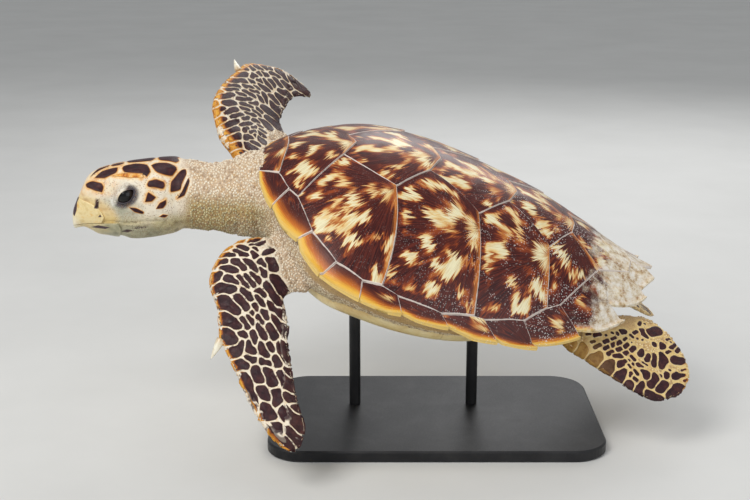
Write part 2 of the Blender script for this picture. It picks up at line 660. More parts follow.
def limbBody(limb, grow=0.0, **shape):
    ribs = []
    for lead, trail, thick, lift in limb["rows"]:
        lead, trail = np.array(lead, float), np.array(trail, float)
        middle, half = (lead + trail) / 2, np.linalg.norm(trail - lead) / 2
        wider, deep = (half + grow / mm) / half, thick / 2 + grow / mm
        lead, trail = middle + (lead - middle) * wider, middle + (trail - middle) * wider
        ribs.append((onLimb(limb, lead, lift), onLimb(limb, trail, lift),
                     onLimb(limb, middle, lift + deep), onLimb(limb, middle, lift - deep)))
    return overRibs(ribs, **{**limb["make"], **shape})


def limbEdges(limb, s):
    # the leading and the trailing edge at shares of the limb's length
    return [railOf([(*row[k], 0) for row in limb["rows"]])(s)[:, :2] for k in (0, 1)]


headMake = {
    "tip": -209, "yaw": math.radians(7), "pivot": 140,
    "rows": [
        (-0.5, -44, -50, 3), (1.5, -31, -55, 6), (6.5, -18.8, -54, 10), (13, -4.5, -53.5, 14), (22, 11, -57.5, 18.5),
        (30, 15.7, -62, 22), (42, 19.3, -64.4, 26.5), (54, 22.2, -66.6, 30.5), (72, 24.8, -69.4, 35.5),
        (90, 26.6, -68.6, 38.5), (108, 27.8, -66, 39.5), (124, 27, -62, 37.5), (137, 18, -50, 29), (141, 5, -36, 16)],
    "upperBeak": [
        (-8, -62), (8.6, -62), (9, -51.6), (22, -48.6), (34, -46.2), (46, -45.5), (50, -38), (47, -31), (42, -26),
        (35, -21.5), (28, -19), (20, -17), (12, -16), (-8, -18)],
    "lowerBeak": [
        (9.35, -51.95), (22, -48.95), (34, -46.6), (46, -45.9), (66, -44.4), (69, -53), (67, -62), (60, -70),
        (54, -84), (8.85, -84)],
}
headShape = {"around": 96, "along": 128, "square": 2.25, "ends": 0.035}
neckRows = [
    (104, 12, -52, 24), (120, 24, -58, 33), (137, 24.5, -59.4, 37), (155, 21, -60.5, 37), (168, 19.8, -61.7, 38),
    (180, 22, -64, 40.5), (197, 28.8, -67.6, 45), (214, 35, -70, 52), (232, 34, -71, 56), (262, 18, -66, 50),
]


def headPoint(back, across, up):
    # millimetres back from the beak's tip, sideways and up, to metres
    back, across, up = np.broadcast_arrays(*[np.asarray(x, float) for x in (back, across, up)])
    turn = np.where(back < headMake["pivot"], headMake["yaw"], 0.0)
    reach = back - headMake["pivot"]
    x = headMake["tip"] + headMake["pivot"] + reach * np.cos(turn) + across * np.sin(turn)
    y = 3 + reach * np.sin(turn) + across * np.cos(turn)
    return np.stack([x, y, up], -1) * mm + nose


headWay = np.array([math.cos(headMake["yaw"]), math.sin(headMake["yaw"]), 0.0])  # from the beak's tip backwards
headSide = np.array([-math.sin(headMake["yaw"]), math.cos(headMake["yaw"]), 0.0])
headRoot = headPoint(headMake["pivot"] - 1, 0, 0) - headWay * (headMake["pivot"] - 1) * mm


def headPlace(points):
    # metres to millimetres back, sideways and up in the head's own frame
    off = (np.asarray(points, float) - headRoot) / mm
    return np.array([off @ headWay, off @ headSide, off[:, 2]])


def towardsCore(points, back, depth):
    # steps of one millimetre from the points of the head to its middle line
    way = headPoint(back, 0, depth) - points
    return way / np.maximum(lengths(way)[:, None], 1e-6) * mm


def levelBody(rows, grow=0.0, **shape):
    grow = grow / mm
    return overRibs([(headPoint(back, -half - grow, (high + low) / 2), headPoint(back, half + grow, (high + low) / 2),
                      headPoint(back, 0, high + grow), headPoint(back, 0, low - grow))
                     for back, high, low, half in rows], **shape)


trunkMake = {
    "half": through([
        (0.03, 0.13), (0.1, 0.205), (0.2, 0.326), (0.3, 0.364), (0.45, 0.368), (0.6, 0.33), (0.75, 0.245),
        (0.86, 0.165), (0.93, 0.09)]),
    "depth": through([
        (0.03, -0.064), (0.1, -0.108), (0.2, -0.138), (0.3, -0.144), (0.45, -0.14), (0.6, -0.125), (0.75, -0.096),
        (0.86, -0.06), (0.93, -0.03)]),
    "ends": (0.03, 0.93), "rimDepth": 0.026, "bowl": 3, "underShell": 0.0056,
}


def bellyHeight(along, across):
    half = trunkMake["half"](along)
    edge = domeHeight(along, half) - trunkMake["rimDepth"]
    out = np.minimum(np.abs(across) / half, 1)
    return edge - (edge - trunkMake["depth"](along)) * (1 - out ** trunkMake["bowl"]) ** 0.8


def slabBody(cuts, place):
    bm = bmesh.new()
    bmesh.ops.create_cube(bm, size=1)
    bmesh.ops.subdivide_edges(bm, edges=bm.edges[:], cuts=cuts, use_grid_fill=True)
    return shaped(bm, place(*(vertsOf(bm) + 0.5).T))


def trunkPlace(s, t, side):
    shrink = fleshMake["coat"] / body["length"]
    along = trunkMake["ends"][0] + (trunkMake["ends"][1] - trunkMake["ends"][0]) * s
    across = (2 * t - 1) * (trunkMake["half"](along) - shrink)
    low = bellyHeight(along, across) + shrink
    top = np.maximum(domeHeight(along, across) - trunkMake["underShell"] / body["length"] - shrink, low + 0.004)
    return inShell(np.column_stack([along, across, low + (top - low) * side]))


tailRows = [(0.84, 0.05, 0.034, -0.02), (0.88, 0.044, 0.03, -0.026), (0.92, 0.03, 0.02, -0.034),
            (0.945, 0.018, 0.013, -0.04), (0.962, 0.007, 0.006, -0.044)]


def tailBody(grow):
    grow = grow / body["length"]
    return overRibs([(inShell((u, -half - grow, up)), inShell((u, half + grow, up)), inShell((u, 0, up + high + grow)),
                      inShell((u, 0, up - high - grow))) for u, half, high, up in tailRows], ends=0.1)


def insideOutline(points, outline):
    # how far inside a closed outline each point lies, negative outside
    outline = np.array(outline, float)
    inside = np.zeros(len(points), bool)
    nearest = np.full(len(points), 1e9)
    for a, b in zip(outline, np.roll(outline, -1, axis=0)):
        crosses = (a[1] > points[:, 1]) != (b[1] > points[:, 1])
        rise = b[1] - a[1] if b[1] != a[1] else 1e-9
        inside ^= crosses & (points[:, 0] < (b[0] - a[0]) * (points[:, 1] - a[1]) / rise + a[0])
        nearest = np.minimum(nearest, lengths(points - a - pathAcross(points, a, b)[:, None] * (b - a)))
    return np.where(inside, nearest, -nearest)


def inBeaks(back, up):
    flat = np.column_stack([back, up])
    return np.maximum(insideOutline(flat, headMake["upperBeak"]), insideOutline(flat, headMake["lowerBeak"]))


def modify(obj, kind, **settings):
    modifier = obj.modifiers.new(kind.lower(), kind)
    for key, value in settings.items():
        setattr(modifier, key, value)


def appliedModifiers(obj):
    mesh = bpy.data.meshes.new_from_object(obj.evaluated_get(bpy.context.evaluated_depsgraph_get()))
    old = obj.data
    obj.modifiers.clear()
    obj.data = mesh
    bpy.data.meshes.remove(old)
    return obj


def addPart(whole, bm):
    part = bpy.data.meshes.new("part")
    bm.to_mesh(part)
    bm.free()
    whole.from_mesh(part)
    bpy.data.meshes.remove(part)


def splitEdges(bm, chosen):
    bm.verts.index_update()
    edges = [e for e in bm.edges if chosen[e.verts[0].index] and chosen[e.verts[1].index]]
    bmesh.ops.subdivide_edges(bm, edges=edges, cuts=1, use_grid_fill=True)


def hiddenFlesh(points):
    # flesh that lies under the shell or the lower shell
    along, across, up = backToShell(points).T
    low = bellyHeight(along, across)
    above = (up > domeHeight(along, across) - 0.05) & (up > low + 0.02)
    above &= np.abs(across) < trunkMake["half"](along) - 0.06
    below = (up < low + 0.012) & (np.abs(across) < plastronHalf(along) - 0.04) & (up > low - 0.01)
    return (along > 0.09) & (along < 0.9) & (above | below)


def sinkHidden(mesh):
    # under the shell the flesh drops away, so its coarse faces stay hidden
    along, across, up = backToShell(pointsOf(mesh)).T
    inner = trunkMake["half"](along) - 0.05 - np.abs(across)
    sink = 0.03 * smooth(0.0, 0.06, inner) * smooth(0.1, 0.16, along) * (1 - smooth(0.84, 0.9, along))
    sink = np.where(up > domeHeight(along, across) - 0.03, sink, 0)
    setPoints(mesh, inShell(np.column_stack([along, across, up - sink])))


def creaseHead(bm):
    points = vertsOf(bm)
    back, across, up = headPlace(points)
    head = (back < 150) & (np.abs(across) < 45) & (up > -75) & (up < 10)
    onSide = smooth(8, 16, np.abs(across))
    mouth = np.interp(back, *np.array(fleshMake["mouth"]).T)
    depth = np.exp(-((up - mouth) / 1.5) ** 2) * smooth(10, 16, back) * (1 - smooth(100, 112, back)) * onSide
    # jaw folds behind the corner of the mouth
    flat = np.column_stack([back, up])
    for start, end, deep in fleshMake["jawFolds"]:
        start, end = np.array(start), np.array(end)
        far = lengths(flat - start - pathAcross(flat, start, end)[:, None] * (end - start))
        depth += deep * np.exp(-(far / 1.6) ** 2) * onSide
    nostril = fleshMake["nostril"]
    far = np.hypot(back - nostril[0], up - nostril[2]) + 2 * np.abs(np.abs(across) - nostril[1])
    depth += 1.8 * np.exp(-(far / 1.7) ** 2)
    moved = points + towardsCore(points, np.clip(back, 12, 130), -28) * np.where(head, depth, 0)[:, None]
    for v, p in zip(bm.verts, moved):
        v.co = p


def wrinkleFlesh(bm):
    # soft folds on the neck, the shoulders and the flanks
    bm.normal_update()
    points = vertsOf(bm)
    back, across, up = headPlace(points)
    along, side, height = backToShell(points).T
    side = np.abs(side)
    neck = smooth(140, 165, back) * (along < 0.12) * (side < 0.2)
    flank = (along > 0.02) * smooth(0.1, 0.2, side) * (height < domeHeight(along, np.minimum(side, 0.4)) - 0.01)
    limb = np.max([1 - smooth(0.03, 0.07, lengths(points - one["root"])) for one in limbs.values()], axis=0)
    amount = np.clip(neck * 0.9 + flank * 0.5 + limb * 0.5, 0, 1)
    bm.verts.ensure_lookup_table()
    for i in np.nonzero(amount > 0.03)[0]:
        b, a, u = back[i] / 9.0, across[i] / 30.0, up[i] / 24.0
        fold = noise.noise(Vector((b + 0.4 * u, a, u))) + 0.5 * noise.noise(Vector((b * 2.3, a * 2.6, u * 2.6)))
        v = bm.verts[i]
        v.co = v.co + v.normal * float(np.clip(fold, -1, 0.6)) * float(amount[i]) * fleshMake["foldDepth"]


def makeFlesh():
    coat = -fleshMake["coat"]
    whole = bmesh.new()
    head = levelBody(headMake["rows"], coat, **headShape)
    # the flesh is thinner where the horny beak sheathes it
    points = vertsOf(head)
    back, _, up = headPlace(points)
    thinner = 1.6 * smooth(0.0, 2.0, inBeaks(back, up))
    for v, p in zip(head.verts, points + towardsCore(points, np.clip(back, 10, 130), -25) * thinner[:, None]):
        v.co = p
    for part in (head, levelBody(neckRows, coat, square=2.1, ends=0.05), slabBody(56, trunkPlace),
                 *[limbBody(limb, coat) for limb in limbs.values()], tailBody(coat)):
        addPart(whole, part)
    skin = objectFrom(whole, "turtleSkin")
    modify(skin, "REMESH", mode="VOXEL", voxel_size=fleshMake["voxel"])
    modify(skin, "SMOOTH", factor=0.5, iterations=fleshMake["smoothing"])
    appliedModifiers(skin)
    sinkHidden(skin.data)
    hidden = skin.vertex_groups.new(name="hidden")
    hidden.add([int(i) for i in np.nonzero(hiddenFlesh(pointsOf(skin.data)))[0]], 1.0, "REPLACE")
    modify(skin, "DECIMATE", vertex_group="hidden", ratio=fleshMake["kept"])
    appliedModifiers(skin)
    skin.vertex_groups.clear()
    bm = bmesh.new()
    bm.from_mesh(skin.data)
    back, across, up = headPlace(vertsOf(bm))
    splitEdges(bm, (back < 141) & (np.abs(across) < 50) & (up > -78) & (up < 14))
    creaseHead(bm)
    wrinkleFlesh(bm)
    bm.to_mesh(skin.data)
    bm.free()
    return skin


skin = makeFlesh()
print("flesh joined:", len(skin.data.polygons), "faces")

# Eyes and lids, in millimetres; the lids' opening is an almond of half sizes round a middle.
eyeMake = {
    "back": 69, "up": -11, "across": 24.5, "ball": 12.2, "swell": 0.045, "lid": 13.2, "half": (11.0, 6.8),
    "almond": 1.7, "middle": (1.0, -0.8), "tilt": math.radians(36), "folds": 0.3, "stripe": 0.36,
}


def eyeCentre(side):
    return headPoint(eyeMake["back"], side * eyeMake["across"], eyeMake["up"])


def eyePlace(points, side):
    # millimetres along the opening, across it and outwards, and how far out in openings
    off = (np.asarray(points, float) - eyeCentre(side)) / mm
    back, up, out = off @ headWay, off[:, 2], off @ headSide * side
    c, s = math.cos(eyeMake["tilt"]), math.sin(eyeMake["tilt"])
    x, y = back * c + up * s, up * c - back * s
    across, high = (np.abs(v - m) / h for v, m, h in zip((x, y), eyeMake["middle"], eyeMake["half"]))
    return x, y, out, (across ** eyeMake["almond"] + high ** eyeMake["almond"]) ** (1 / eyeMake["almond"])


def fromEye(x, y, out, side):
    c, s = math.cos(eyeMake["tilt"]), math.sin(eyeMake["tilt"])
    back, up = x * c - y * s, x * s + y * c
    return (eyeCentre(side) + mm * (np.outer(back, headWay) + np.outer(out * side, headSide)
                                    + np.outer(up, (0, 0, 1))))


def lidWave(open_):
    return np.cos((open_ - 1.0) * 2 * math.pi / eyeMake["stripe"])


def openEye(bm, side):
    for _ in range(2):
        x, y, out, _ = eyePlace(vertsOf(bm), side)
        splitEdges(bm, (np.hypot(x, y) < 17) & (out > 2))
    x, y, out, open_ = eyePlace(vertsOf(bm), side)
    reach = np.sqrt(x * x + y * y + out * out)
    folds = eyeMake["folds"] * lidWave(open_) * smooth(1.05, 1.2, open_) * (1 - smooth(1.9, 2.3, open_))
    ball = eyeMake["lid"] + folds * (1 + 1.6 * smooth(-2, 6, y - 0.3 * x)) + 0.5 * smooth(1.25, 1.0, open_)
    weight = np.where(out > 1, 1 - smooth(11.5, 19, np.hypot(x, y)), 0)
    scale = 1 + (ball / np.maximum(reach, 1) - 1) * weight
    moved = fromEye(x * scale, y * scale, out * scale, side)
    bm.verts.ensure_lookup_table()
    for i in np.nonzero(weight > 0)[0]:
        bm.verts[i].co = moved[i]
    _, _, out, open_ = eyePlace([f.calc_center_median() for f in bm.faces], side)
    bmesh.ops.delete(bm, geom=[f for f, o, d in zip(bm.faces, open_, out) if o < 1 and d > 2], context="FACES")
    loop = [e for e in bm.edges if e.is_boundary]
    _, _, out, open_ = eyePlace([e.verts[0].co for e in loop], side)
    loop = [e for e, o, d in zip(loop, open_, out) if o < 1.5 and d > 2]

    def snap(verts, share, radius):
        x, y, out, open_ = eyePlace([v.co for v in verts], side)
        mx, my = eyeMake["middle"]
        x, y = mx + (x - mx) / open_ * share, my + (y - my) / open_ * share
        for v, p in zip(verts, fromEye(x, y, np.sqrt(np.maximum(radius ** 2 - x * x - y * y, 1)), side)):
            v.co = p
    snap(list({v for e in loop for v in e.verts}), 1.0, eyeMake["lid"] + 0.5)
    # the lid's edge rolls in on to the ball
    for share, radius in ((0.955, eyeMake["lid"] + 0.1), (0.94, eyeMake["ball"] - 0.4)):
        grown = bmesh.ops.extrude_edge_only(bm, edges=loop)["geom"]
        loop = [g for g in grown if isinstance(g, bmesh.types.BMEdge)]
        snap([g for g in grown if isinstance(g, bmesh.types.BMVert)], share, radius)


bm = bmesh.new()
bm.from_mesh(skin.data)
for side in (-1, 1):
    openEye(bm, side)
bmesh.ops.recalc_face_normals(bm, faces=bm.faces[:])
bm.to_mesh(skin.data)
bm.free()
skinTree = BVHTree.FromPolygons([v.co for v in skin.data.vertices], [p.vertices[:] for p in skin.data.polygons])
print("lids opened")


def makeEyeMaterial():
    material, tree, _ = startMaterial("darkEye", {"Roughness": 0.16, "Specular IOR Level": 0.35})
    out, turn, _ = split(attribute(tree, "gaze"))
    rays = noiseOf(combine(turn * 9.0, out * 2.0), 2.0, 4.0, 0.7)
    iris = ramp(rays, (0.3, 0.006, 0.004, 0.004), (0.6, 0.022, 0.012, 0.008), (0.8, 0.04, 0.022, 0.012))
    colour = blend(ranged(out, 0.34, 0.42), (0.003, 0.003, 0.003), iris)
    colour = blend(ranged(out, 0.72, 0.86), colour, (0.008, 0.006, 0.006))
    return endMaterial(material, colour, None, rays, 0.1, 0.0002)


eyeMaterial = makeEyeMaterial()
for side, name in ((-1, "left"), (1, "right")):
    bm = bmesh.new()
    bmesh.ops.create_uvsphere(bm, u_segments=48, v_segments=32, radius=1)
    ball = vertsOf(bm)
    tilt = np.arccos(np.clip(ball[:, 2], -1, 1))
    # the clear front stands a little proud of the ball
    swell = 1 + eyeMake["swell"] * (1 - smooth(0.0, 0.75, tilt))
    ways = np.array([headWay, (0, 0, 1), headSide * side])
    shaped(bm, eyeCentre(side) + ball @ ways * swell[:, None] * eyeMake["ball"] * mm)
    eye = objectFrom(bm, "eyeball_" + name)
    setAttribute(eye.data, "gaze", tilt / (math.pi / 2), np.arctan2(ball[:, 1], ball[:, 0]), ball[:, 2])
    finishPiece(eye, eyeMaterial, "eye", "eye_" + name)

# Scales: raised plates laid on the skin, in millimetres.
scaleMake = {
    "around": 24, "rings": 10, "gap": 0.95, "wrap": 3.2, "height": 0.8, "spread": 1.0, "widest": 13.0,
    "rootWidest": 8.5, "spotSpread": 1.25, "fringe": 8.5, "underside": 0.8, "patch": 0.0015,
}
paint = {"points": [], "dark": [], "reach": []}
# rows: one end and the other of each scale's long axis, in the limb's plane
nearSeeds = [
    (-16, -48, -15, -32), (-9, -41, -3, -30), (-14, -30, -12, -21), (-10, -26, -7, -18), (-5, -23, 1, -15),
    (-2, -58, 1, -46), (-5, -46, 4, -31), (1, -26, 8, -21), (-2, -17, 7, -10), (9, -67, 6, -56), (7, -48, 19, -36),
    (9, -34, 25, -23), (11, -19, 19, -14), (10, -10, 24, -6), (26, -72, 19, -64), (13, -64, 20, -45),
    (27, -57, 34, -46), (28, -44, 41, -35), (28, -36, 41, -29), (26, -29, 36, -21), (22, -18, 31, -15),
    (36, -68, 40, -50), (43, -41, 56, -33), (52, -27, 64, -21), (47, -26, 52, -19), (51, -65, 67, -50),
    (51, -47, 66, -38), (62, -31, 68, -28), (70, -35, 72, -34), (69, -24, 79, -19), (38, -16, 64, -5),
    (61, -15, 81, -2), (32, -8, 51, 2), (77, -12, 98, 0), (72, -64, 84, -49), (77, -45, 86, -41), (75, -39, 82, -35),
    (75, -29, 84, -25), (83, -30, 102, -24), (87, -19, 103, -13), (90, -65, 100, -56), (92, -48, 96, -45),
    (93, -37, 104, -35), (113, -60, 102, -49), (103, -43, 115, -40), (106, -30, 121, -25), (108, -21, 113, -19),
    (108, -10, 132, -2), (126, -59, 128, -48), (121, -43, 124, -40), (126, -30, 130, -24), (126, -16, 134, -12),
    (133, -39, 146, -35), (135, -27, 152, -22), (140, -12, 162, -2), (139, -53, 174, -45), (138, -7, 142, -1),
    (157, -36, 166, -30), (163, -21, 173, -19), (167, -7, 175, -1), (176, -35, 190, -30), (181, -14, 206, 3),
    (179, -1, 181, 1), (197, -30, 223, -12), (207, -12, 219, -3), (-8, -58, -11, -48),
]
farSeeds = [
    (-8, -161, 11, -159), (-20, -151, 8, -149), (-34, -141, -2, -137), (-49, -135, -21, -131), (-52, -129, -28, -126),
    (-63, -127, -57, -127), (-67, -119, -40, -119), (-81, -111, -78, -110), (-69, -107, -48, -107),
    (-88, -97, -72, -101), (-76, -93, -49, -97), (-70, -87, -45, -89), (-95, -82, -80, -87), (-90, -75, -59, -81),
    (-92, -66, -67, -69), (-53, -83, -38, -84), (-63, -74, -40, -74), (-64, -66, -52, -68), (-102, -62, -99, -59),
    (-89, -58, -74, -59), (-69, -55, -57, -54), (-97, -48, -82, -45), (-75, -43, -67, -42), (-91, -38, -85, -37),
    (18, -163, 25, -155), (28, -162, 40, -156), (45, -161, 63, -156), (9, -147, 21, -145), (1, -138, 8, -135),
    (26, -152, 31, -150), (37, -152, 43, -145), (19, -141, 25, -138), (-17, -133, 3, -127), (6, -132, 12, -127),
    (17, -132, 31, -123), (32, -138, 38, -130), (43, -141, 49, -129), (57, -142, 61, -131), (66, -155, 83, -138),
    (55, -151, 70, -144), (-23, -124, -4, -116), (-37, -122, -21, -117), (-7, -125, 8, -121), (-45, -112, -11, -110),
    (3, -117, 6, -112), (15, -119, 18, -110), (30, -118, 35, -108), (-41, -106, -19, -100), (-24, -105, -7, -105),
    (-46, -98, -31, -94), (-43, -92, -22, -86), (-23, -94, -15, -87), (-13, -97, -7, -91), (-36, -80, -25, -78),
    (-21, -81, -10, -74), (-46, -68, -35, -69), (-54, -62, -43, -63), (-30, -71, -30, -70), (-33, -66, -32, -66),
    (-38, -61, -38, -60), (-50, -56, -49, -56), (-46, -53, -45, -52), (-61, -48, -60, -48), (45, -116, 65, -105),
    (23, -107, 39, -89), (-2, -99, 26, -78), (-5, -85, 21, -73), (51, -126, 75, -113), (69, -138, 82, -126),
    (87, -140, 113, -113), (84, -119, 105, -112),
]
# and its half width
rearSeeds = [
    (34, -20, 42, -16, 2.4), (25, -22, 30, -20, 1.7), (32, -30, 36, -27, 1.9), (37, -35, 44, -29, 2.3),
    (49, -15, 50, -14, 1.7), (57, -8, 58, -8, 1.9), (64, -7, 64, -6, 2.7), (69, -2, 74, 0, 3.6),
    (57, -17, 62, -13, 1.9), (47, -26, 53, -20, 2.6), (49, -33, 54, -28, 2.3), (58, -26, 61, -21, 2.9),
    (64, -21, 69, -16, 2.9), (73, -12, 76, -8, 1.9), (74, -22, 78, -16, 2.6), (54, -38, 61, -32, 2.6),
    (64, -30, 70, -25, 3.2), (61, -37, 71, -35, 3.2), (74, -31, 79, -27, 3.2), (82, -24, 86, -18, 3.2),
    (81, -2, 84, -4, 2.0), (85, 2, 89, 6, 2.3), (83, -12, 83, -12, 1.4), (90, -4, 90, -4, 1.7),
    (96, -4, 97, -3, 1.4), (92, 18, 94, 22, 2.3), (99, 22, 100, 22, 1.4), (95, 10, 99, 4, 5.8),
    (105, 11, 117, 18, 5.8), (112, -5, 112, -4, 3.2), (123, -4, 124, -4, 6.5), (133, -4, 139, 5, 2.9),
    (128, 8, 132, 11, 1.7), (133, 7, 134, 7, 1.4), (141, -4, 144, 1, 2.9), (128, -11, 133, -6, 2.0),
    (95, -24, 96, -24, 8.0), (102, -32, 106, -23, 3.4), (112, -34, 112, -20, 3.4), (122, -31, 124, -16, 7.2),
    (138, -16, 146, -18, 9.3), (83, -31, 88, -35, 2.3), (69, -47, 78, -40, 4.3), (80, -38, 81, -38, 1.7),
    (86, -41, 86, -41, 2.3), (80, -44, 83, -47, 1.7), (91, -39, 98, -42, 2.9), (97, -35, 104, -37, 1.4),
    (88, -49, 92, -53, 2.4), (84, -54, 84, -58, 2.3), (87, -59, 92, -61, 2.4), (98, -44, 104, -52, 6.0),
    (109, -62, 118, -47, 6.5), (120, -46, 121, -46, 2.3), (127, -45, 130, -40, 3.7), (132, -34, 133, -34, 1.7),
    (137, -40, 151, -35, 5.2), (147, -30, 153, -26, 1.4), (120, -64, 126, -54, 5.5), (134, -70, 150, -51, 11.5),
    (151, -43, 156, -39, 1.9), (81, -77, 85, -65, 6.5), (96, -78, 97, -64, 6.5), (106, -73, 124, -77, 7.9),
    (6, -42, 11, -38, 5.8), (20, -47, 24, -39, 6.5), (36, -53, 44, -40, 7.2), (53, -61, 61, -46, 7.9),
    (68, -69, 77, -53, 7.9),
]


def rearDarks(middles):
    # the rear flipper's spots are faint along the root of its leading edge
    return np.clip(0.08 + middles[:, 0] / 95 + np.clip((middles[:, 1] + 42) / 60, 0, 0.35), 0.12, 1)


def flatOnLimb(limb, points):
    axes = np.column_stack([limb["span"], limb["chord"]])
    return np.linalg.lstsq(axes, ((np.asarray(points) - limb["root"]) / mm).T, rcond=None)[0].T


def limbOutline(limb):
    s = np.linspace(0, 1, 90)
    cap = roundedEnds(s, limb["make"]["ends"])[:, None]
    a, b = limbEdges(limb, s)
    middle = (a + b) / 2
    return np.vstack([middle + (a - middle) * cap, (middle + (b - middle) * cap)[::-1]])


def nearestOn(outline, points):
    best = np.full(len(points), 1e9)
    spot = np.zeros_like(points)
    for a, b in zip(outline, np.roll(outline, -1, axis=0)):
        q = a + pathAcross(points, a, b)[:, None] * (b - a)
        far = lengths(points - q)
        spot[far < best] = q[far < best]
        best = np.minimum(best, far)
    return spot, best


def segmentFar(points, ends):
    a, b = ends[:, 0:2], ends[:, 2:4]
    ab = b - a
    t = np.clip(((points[:, None] - a) * ab).sum(2) / np.maximum((ab ** 2).sum(1), 0.01), 0, 1)
    return np.linalg.norm(points[:, None] - a - t[..., None] * ab, axis=2)


def middlesOf(seeds):
    return (seeds[:, 0:2] + seeds[:, 2:4]) / 2


def cellOutlines(seeds, outline, widths):
    # each scale reaches to half way to its neighbours
    turn = np.linspace(0, 2 * math.pi, scaleMake["around"], endpoint=False)
    ways = np.column_stack([np.cos(turn), np.sin(turn)])
    reach = np.arange(0.3, 30, 0.3)
    cells = []
    for seed, middle, width in zip(seeds, middlesOf(seeds), widths):
        points = (middle + ways[:, None] * reach[None, :, None]).reshape(-1, 2)
        near = seeds[lengths(middlesOf(seeds) - middle) < 70]
        mine = segmentFar(points, seed[None])[:, 0]
        others = segmentFar(points, near[np.abs(near - seed).sum(1) > 0.01])
        inside = (mine + scaleMake["gap"] < others.min(1)) & (mine < width)
        inside &= insideOutline(points, outline) > -scaleMake["wrap"]
        inside = inside.reshape(len(turn), -1)
        stop = np.where(inside.all(1), len(reach) - 1, np.argmin(inside, axis=1))
        radius = reach[np.maximum(stop - 1, 0)]
        radius = (radius * 6 + np.roll(radius, 1) + np.roll(radius, -1)) / 8
        cells.append((middle + ways * radius[:, None], middle))
    return cells


def evenOutline(points):
    # an outline walked in even steps from its middle's first side
    middle = points.mean(0)
    closed = np.vstack([points, points[:1]])
    walk = np.append(0, np.cumsum(lengths(np.diff(closed, axis=0))))
    at = np.linspace(0, walk[-1], scaleMake["around"], endpoint=False)
    even = np.column_stack([np.interp(at, walk, part) for part in closed.T])
    even = (even * 8 + np.roll(even, 1, axis=0) + np.roll(even, -1, axis=0)) / 10
    return middle + (even - middle) * (1 + scaleMake["spread"] / lengths(even - middle)[:, None]), middle


def repeated(bm, count, name):
    obj = objectFrom(bm, name)
    modify(obj, "ARRAY", count=count, use_relative_offset=False)
    return appliedModifiers(obj)


def bakePatches(mesh, patches):
    # a map with each piece's own small patch where its root lies on the unrolled skin
    corners = np.zeros(len(mesh.loops), np.int32)
    mesh.loops.foreach_get("vertex_index", corners)
    mesh.uv_layers.new(name="OFBake").data.foreach_set("uv", patches[corners].astype(np.float32).ravel())


def layScales(name, cells, looks, onSkin, patchPlace, fringeOf):
    # onSkin turns flat places into points and normals; looks: how dark each scale is
    ball = bmesh.new()
    bmesh.ops.create_uvsphere(ball, u_segments=scaleMake["around"], v_segments=scaleMake["rings"], radius=1)
    unit = vertsOf(ball)
    obj = repeated(ball, len(cells), name)
    turn = np.arctan2(unit[:, 1], unit[:, 0]) % (2 * math.pi)
    tall = unit[:, 2]
    out = np.sqrt(np.clip(1 - tall ** 2, 0, 1))
    share = np.interp(out, [0, 0.31, 0.59, 0.81, 0.951, 1], [0, 0.42, 0.7, 0.88, 0.975, 1])
    crown = np.interp(share, [0, 0.7, 0.88, 0.975, 1], [1.0, 1.0, 0.86, 0.5, 0.05])
    lift = np.where(tall > 0.01, crown, np.where(tall < -0.01, -0.5, 0.05))
    wide = share * np.where(tall >= 0, 0.5, 1) * scaleMake["patch"]
    spread = np.column_stack([np.cos(turn) * wide, np.sin(turn) * wide])
    flats, lifts, info, patches = [], [], [], []
    for (cell, middle), dark in zip(cells, looks):
        ringTurn = turn / (2 * math.pi) * len(cell)
        i = ringTurn.astype(int) % len(cell)
        w = (ringTurn - np.floor(ringTurn))[:, None]
        edge = cell[i] * (1 - w) + cell[(i + 1) % len(cell)] * w
        size = lengths(edge - middle)
        flats.append(middle + (edge - middle) * share[:, None])
        lifts.append(lift * min(1.0, 0.35 + size.mean() / 6) * scaleMake["height"])
        info.append(np.column_stack([(1 - share) * size, np.full(len(unit), dark)]))
        patches.append(patchPlace(middle) + spread)
    flat, (inset, dark) = np.vstack(flats), np.vstack(info).T
    points, normals = onSkin(flat)
    setPoints(obj.data, points + normals * (np.concatenate(lifts) * mm)[:, None])
    setAttribute(obj.data, "scale", inset, dark, fringeOf(flat))
    bakePatches(obj.data, np.vstack(patches))
    bm = bmesh.new()
    bm.from_mesh(obj.data)
    bmesh.ops.recalc_face_normals(bm, faces=bm.faces[:])
    bm.to_mesh(obj.data)
    bm.free()
    # remember where the scales lie, so the skin below can carry their colour
    inner = inset > 0.4
    for key, values in (("points", points), ("dark", np.clip(dark, 0, 1)), ("reach", inset * mm)):
        paint[key].append(values[inner])
    return obj


def limbSurface(limb, tree, outline, face):
    def onSkin(flat):
        spot, far = nearestOn(outline, flat)
        outside = insideOutline(flat, outline) < 0
        folded = np.where(outside[:, None], 2 * spot - flat, flat)
        sign = np.where(outside, -face, face)
        points, normals = np.zeros((2, len(flat), 3))
        up = Vector(limb["up"])
        starts = onLimb(limb, folded, sign * 45.0)
        for i, (start, s) in enumerate(zip(starts, sign)):
            hit, normal, _, _ = tree.ray_cast(Vector(start), -up * float(s), 0.1)
            if hit is None:
                hit, normal, _, _ = tree.find_nearest(Vector(onLimb(limb, spot[i], 0.0)))
            elif far[i] < 0.7:
                hit, normal, _, _ = tree.find_nearest(Vector(onLimb(limb, folded[i], sign[i] * 3.0)))
            # then down on to the skin itself, which has settled a little
            points[i] = skinTree.ray_cast(hit + normal * 0.005, -normal, 0.01)[0] or hit
            normals[i] = normal
        return points, normals
    return onSkin


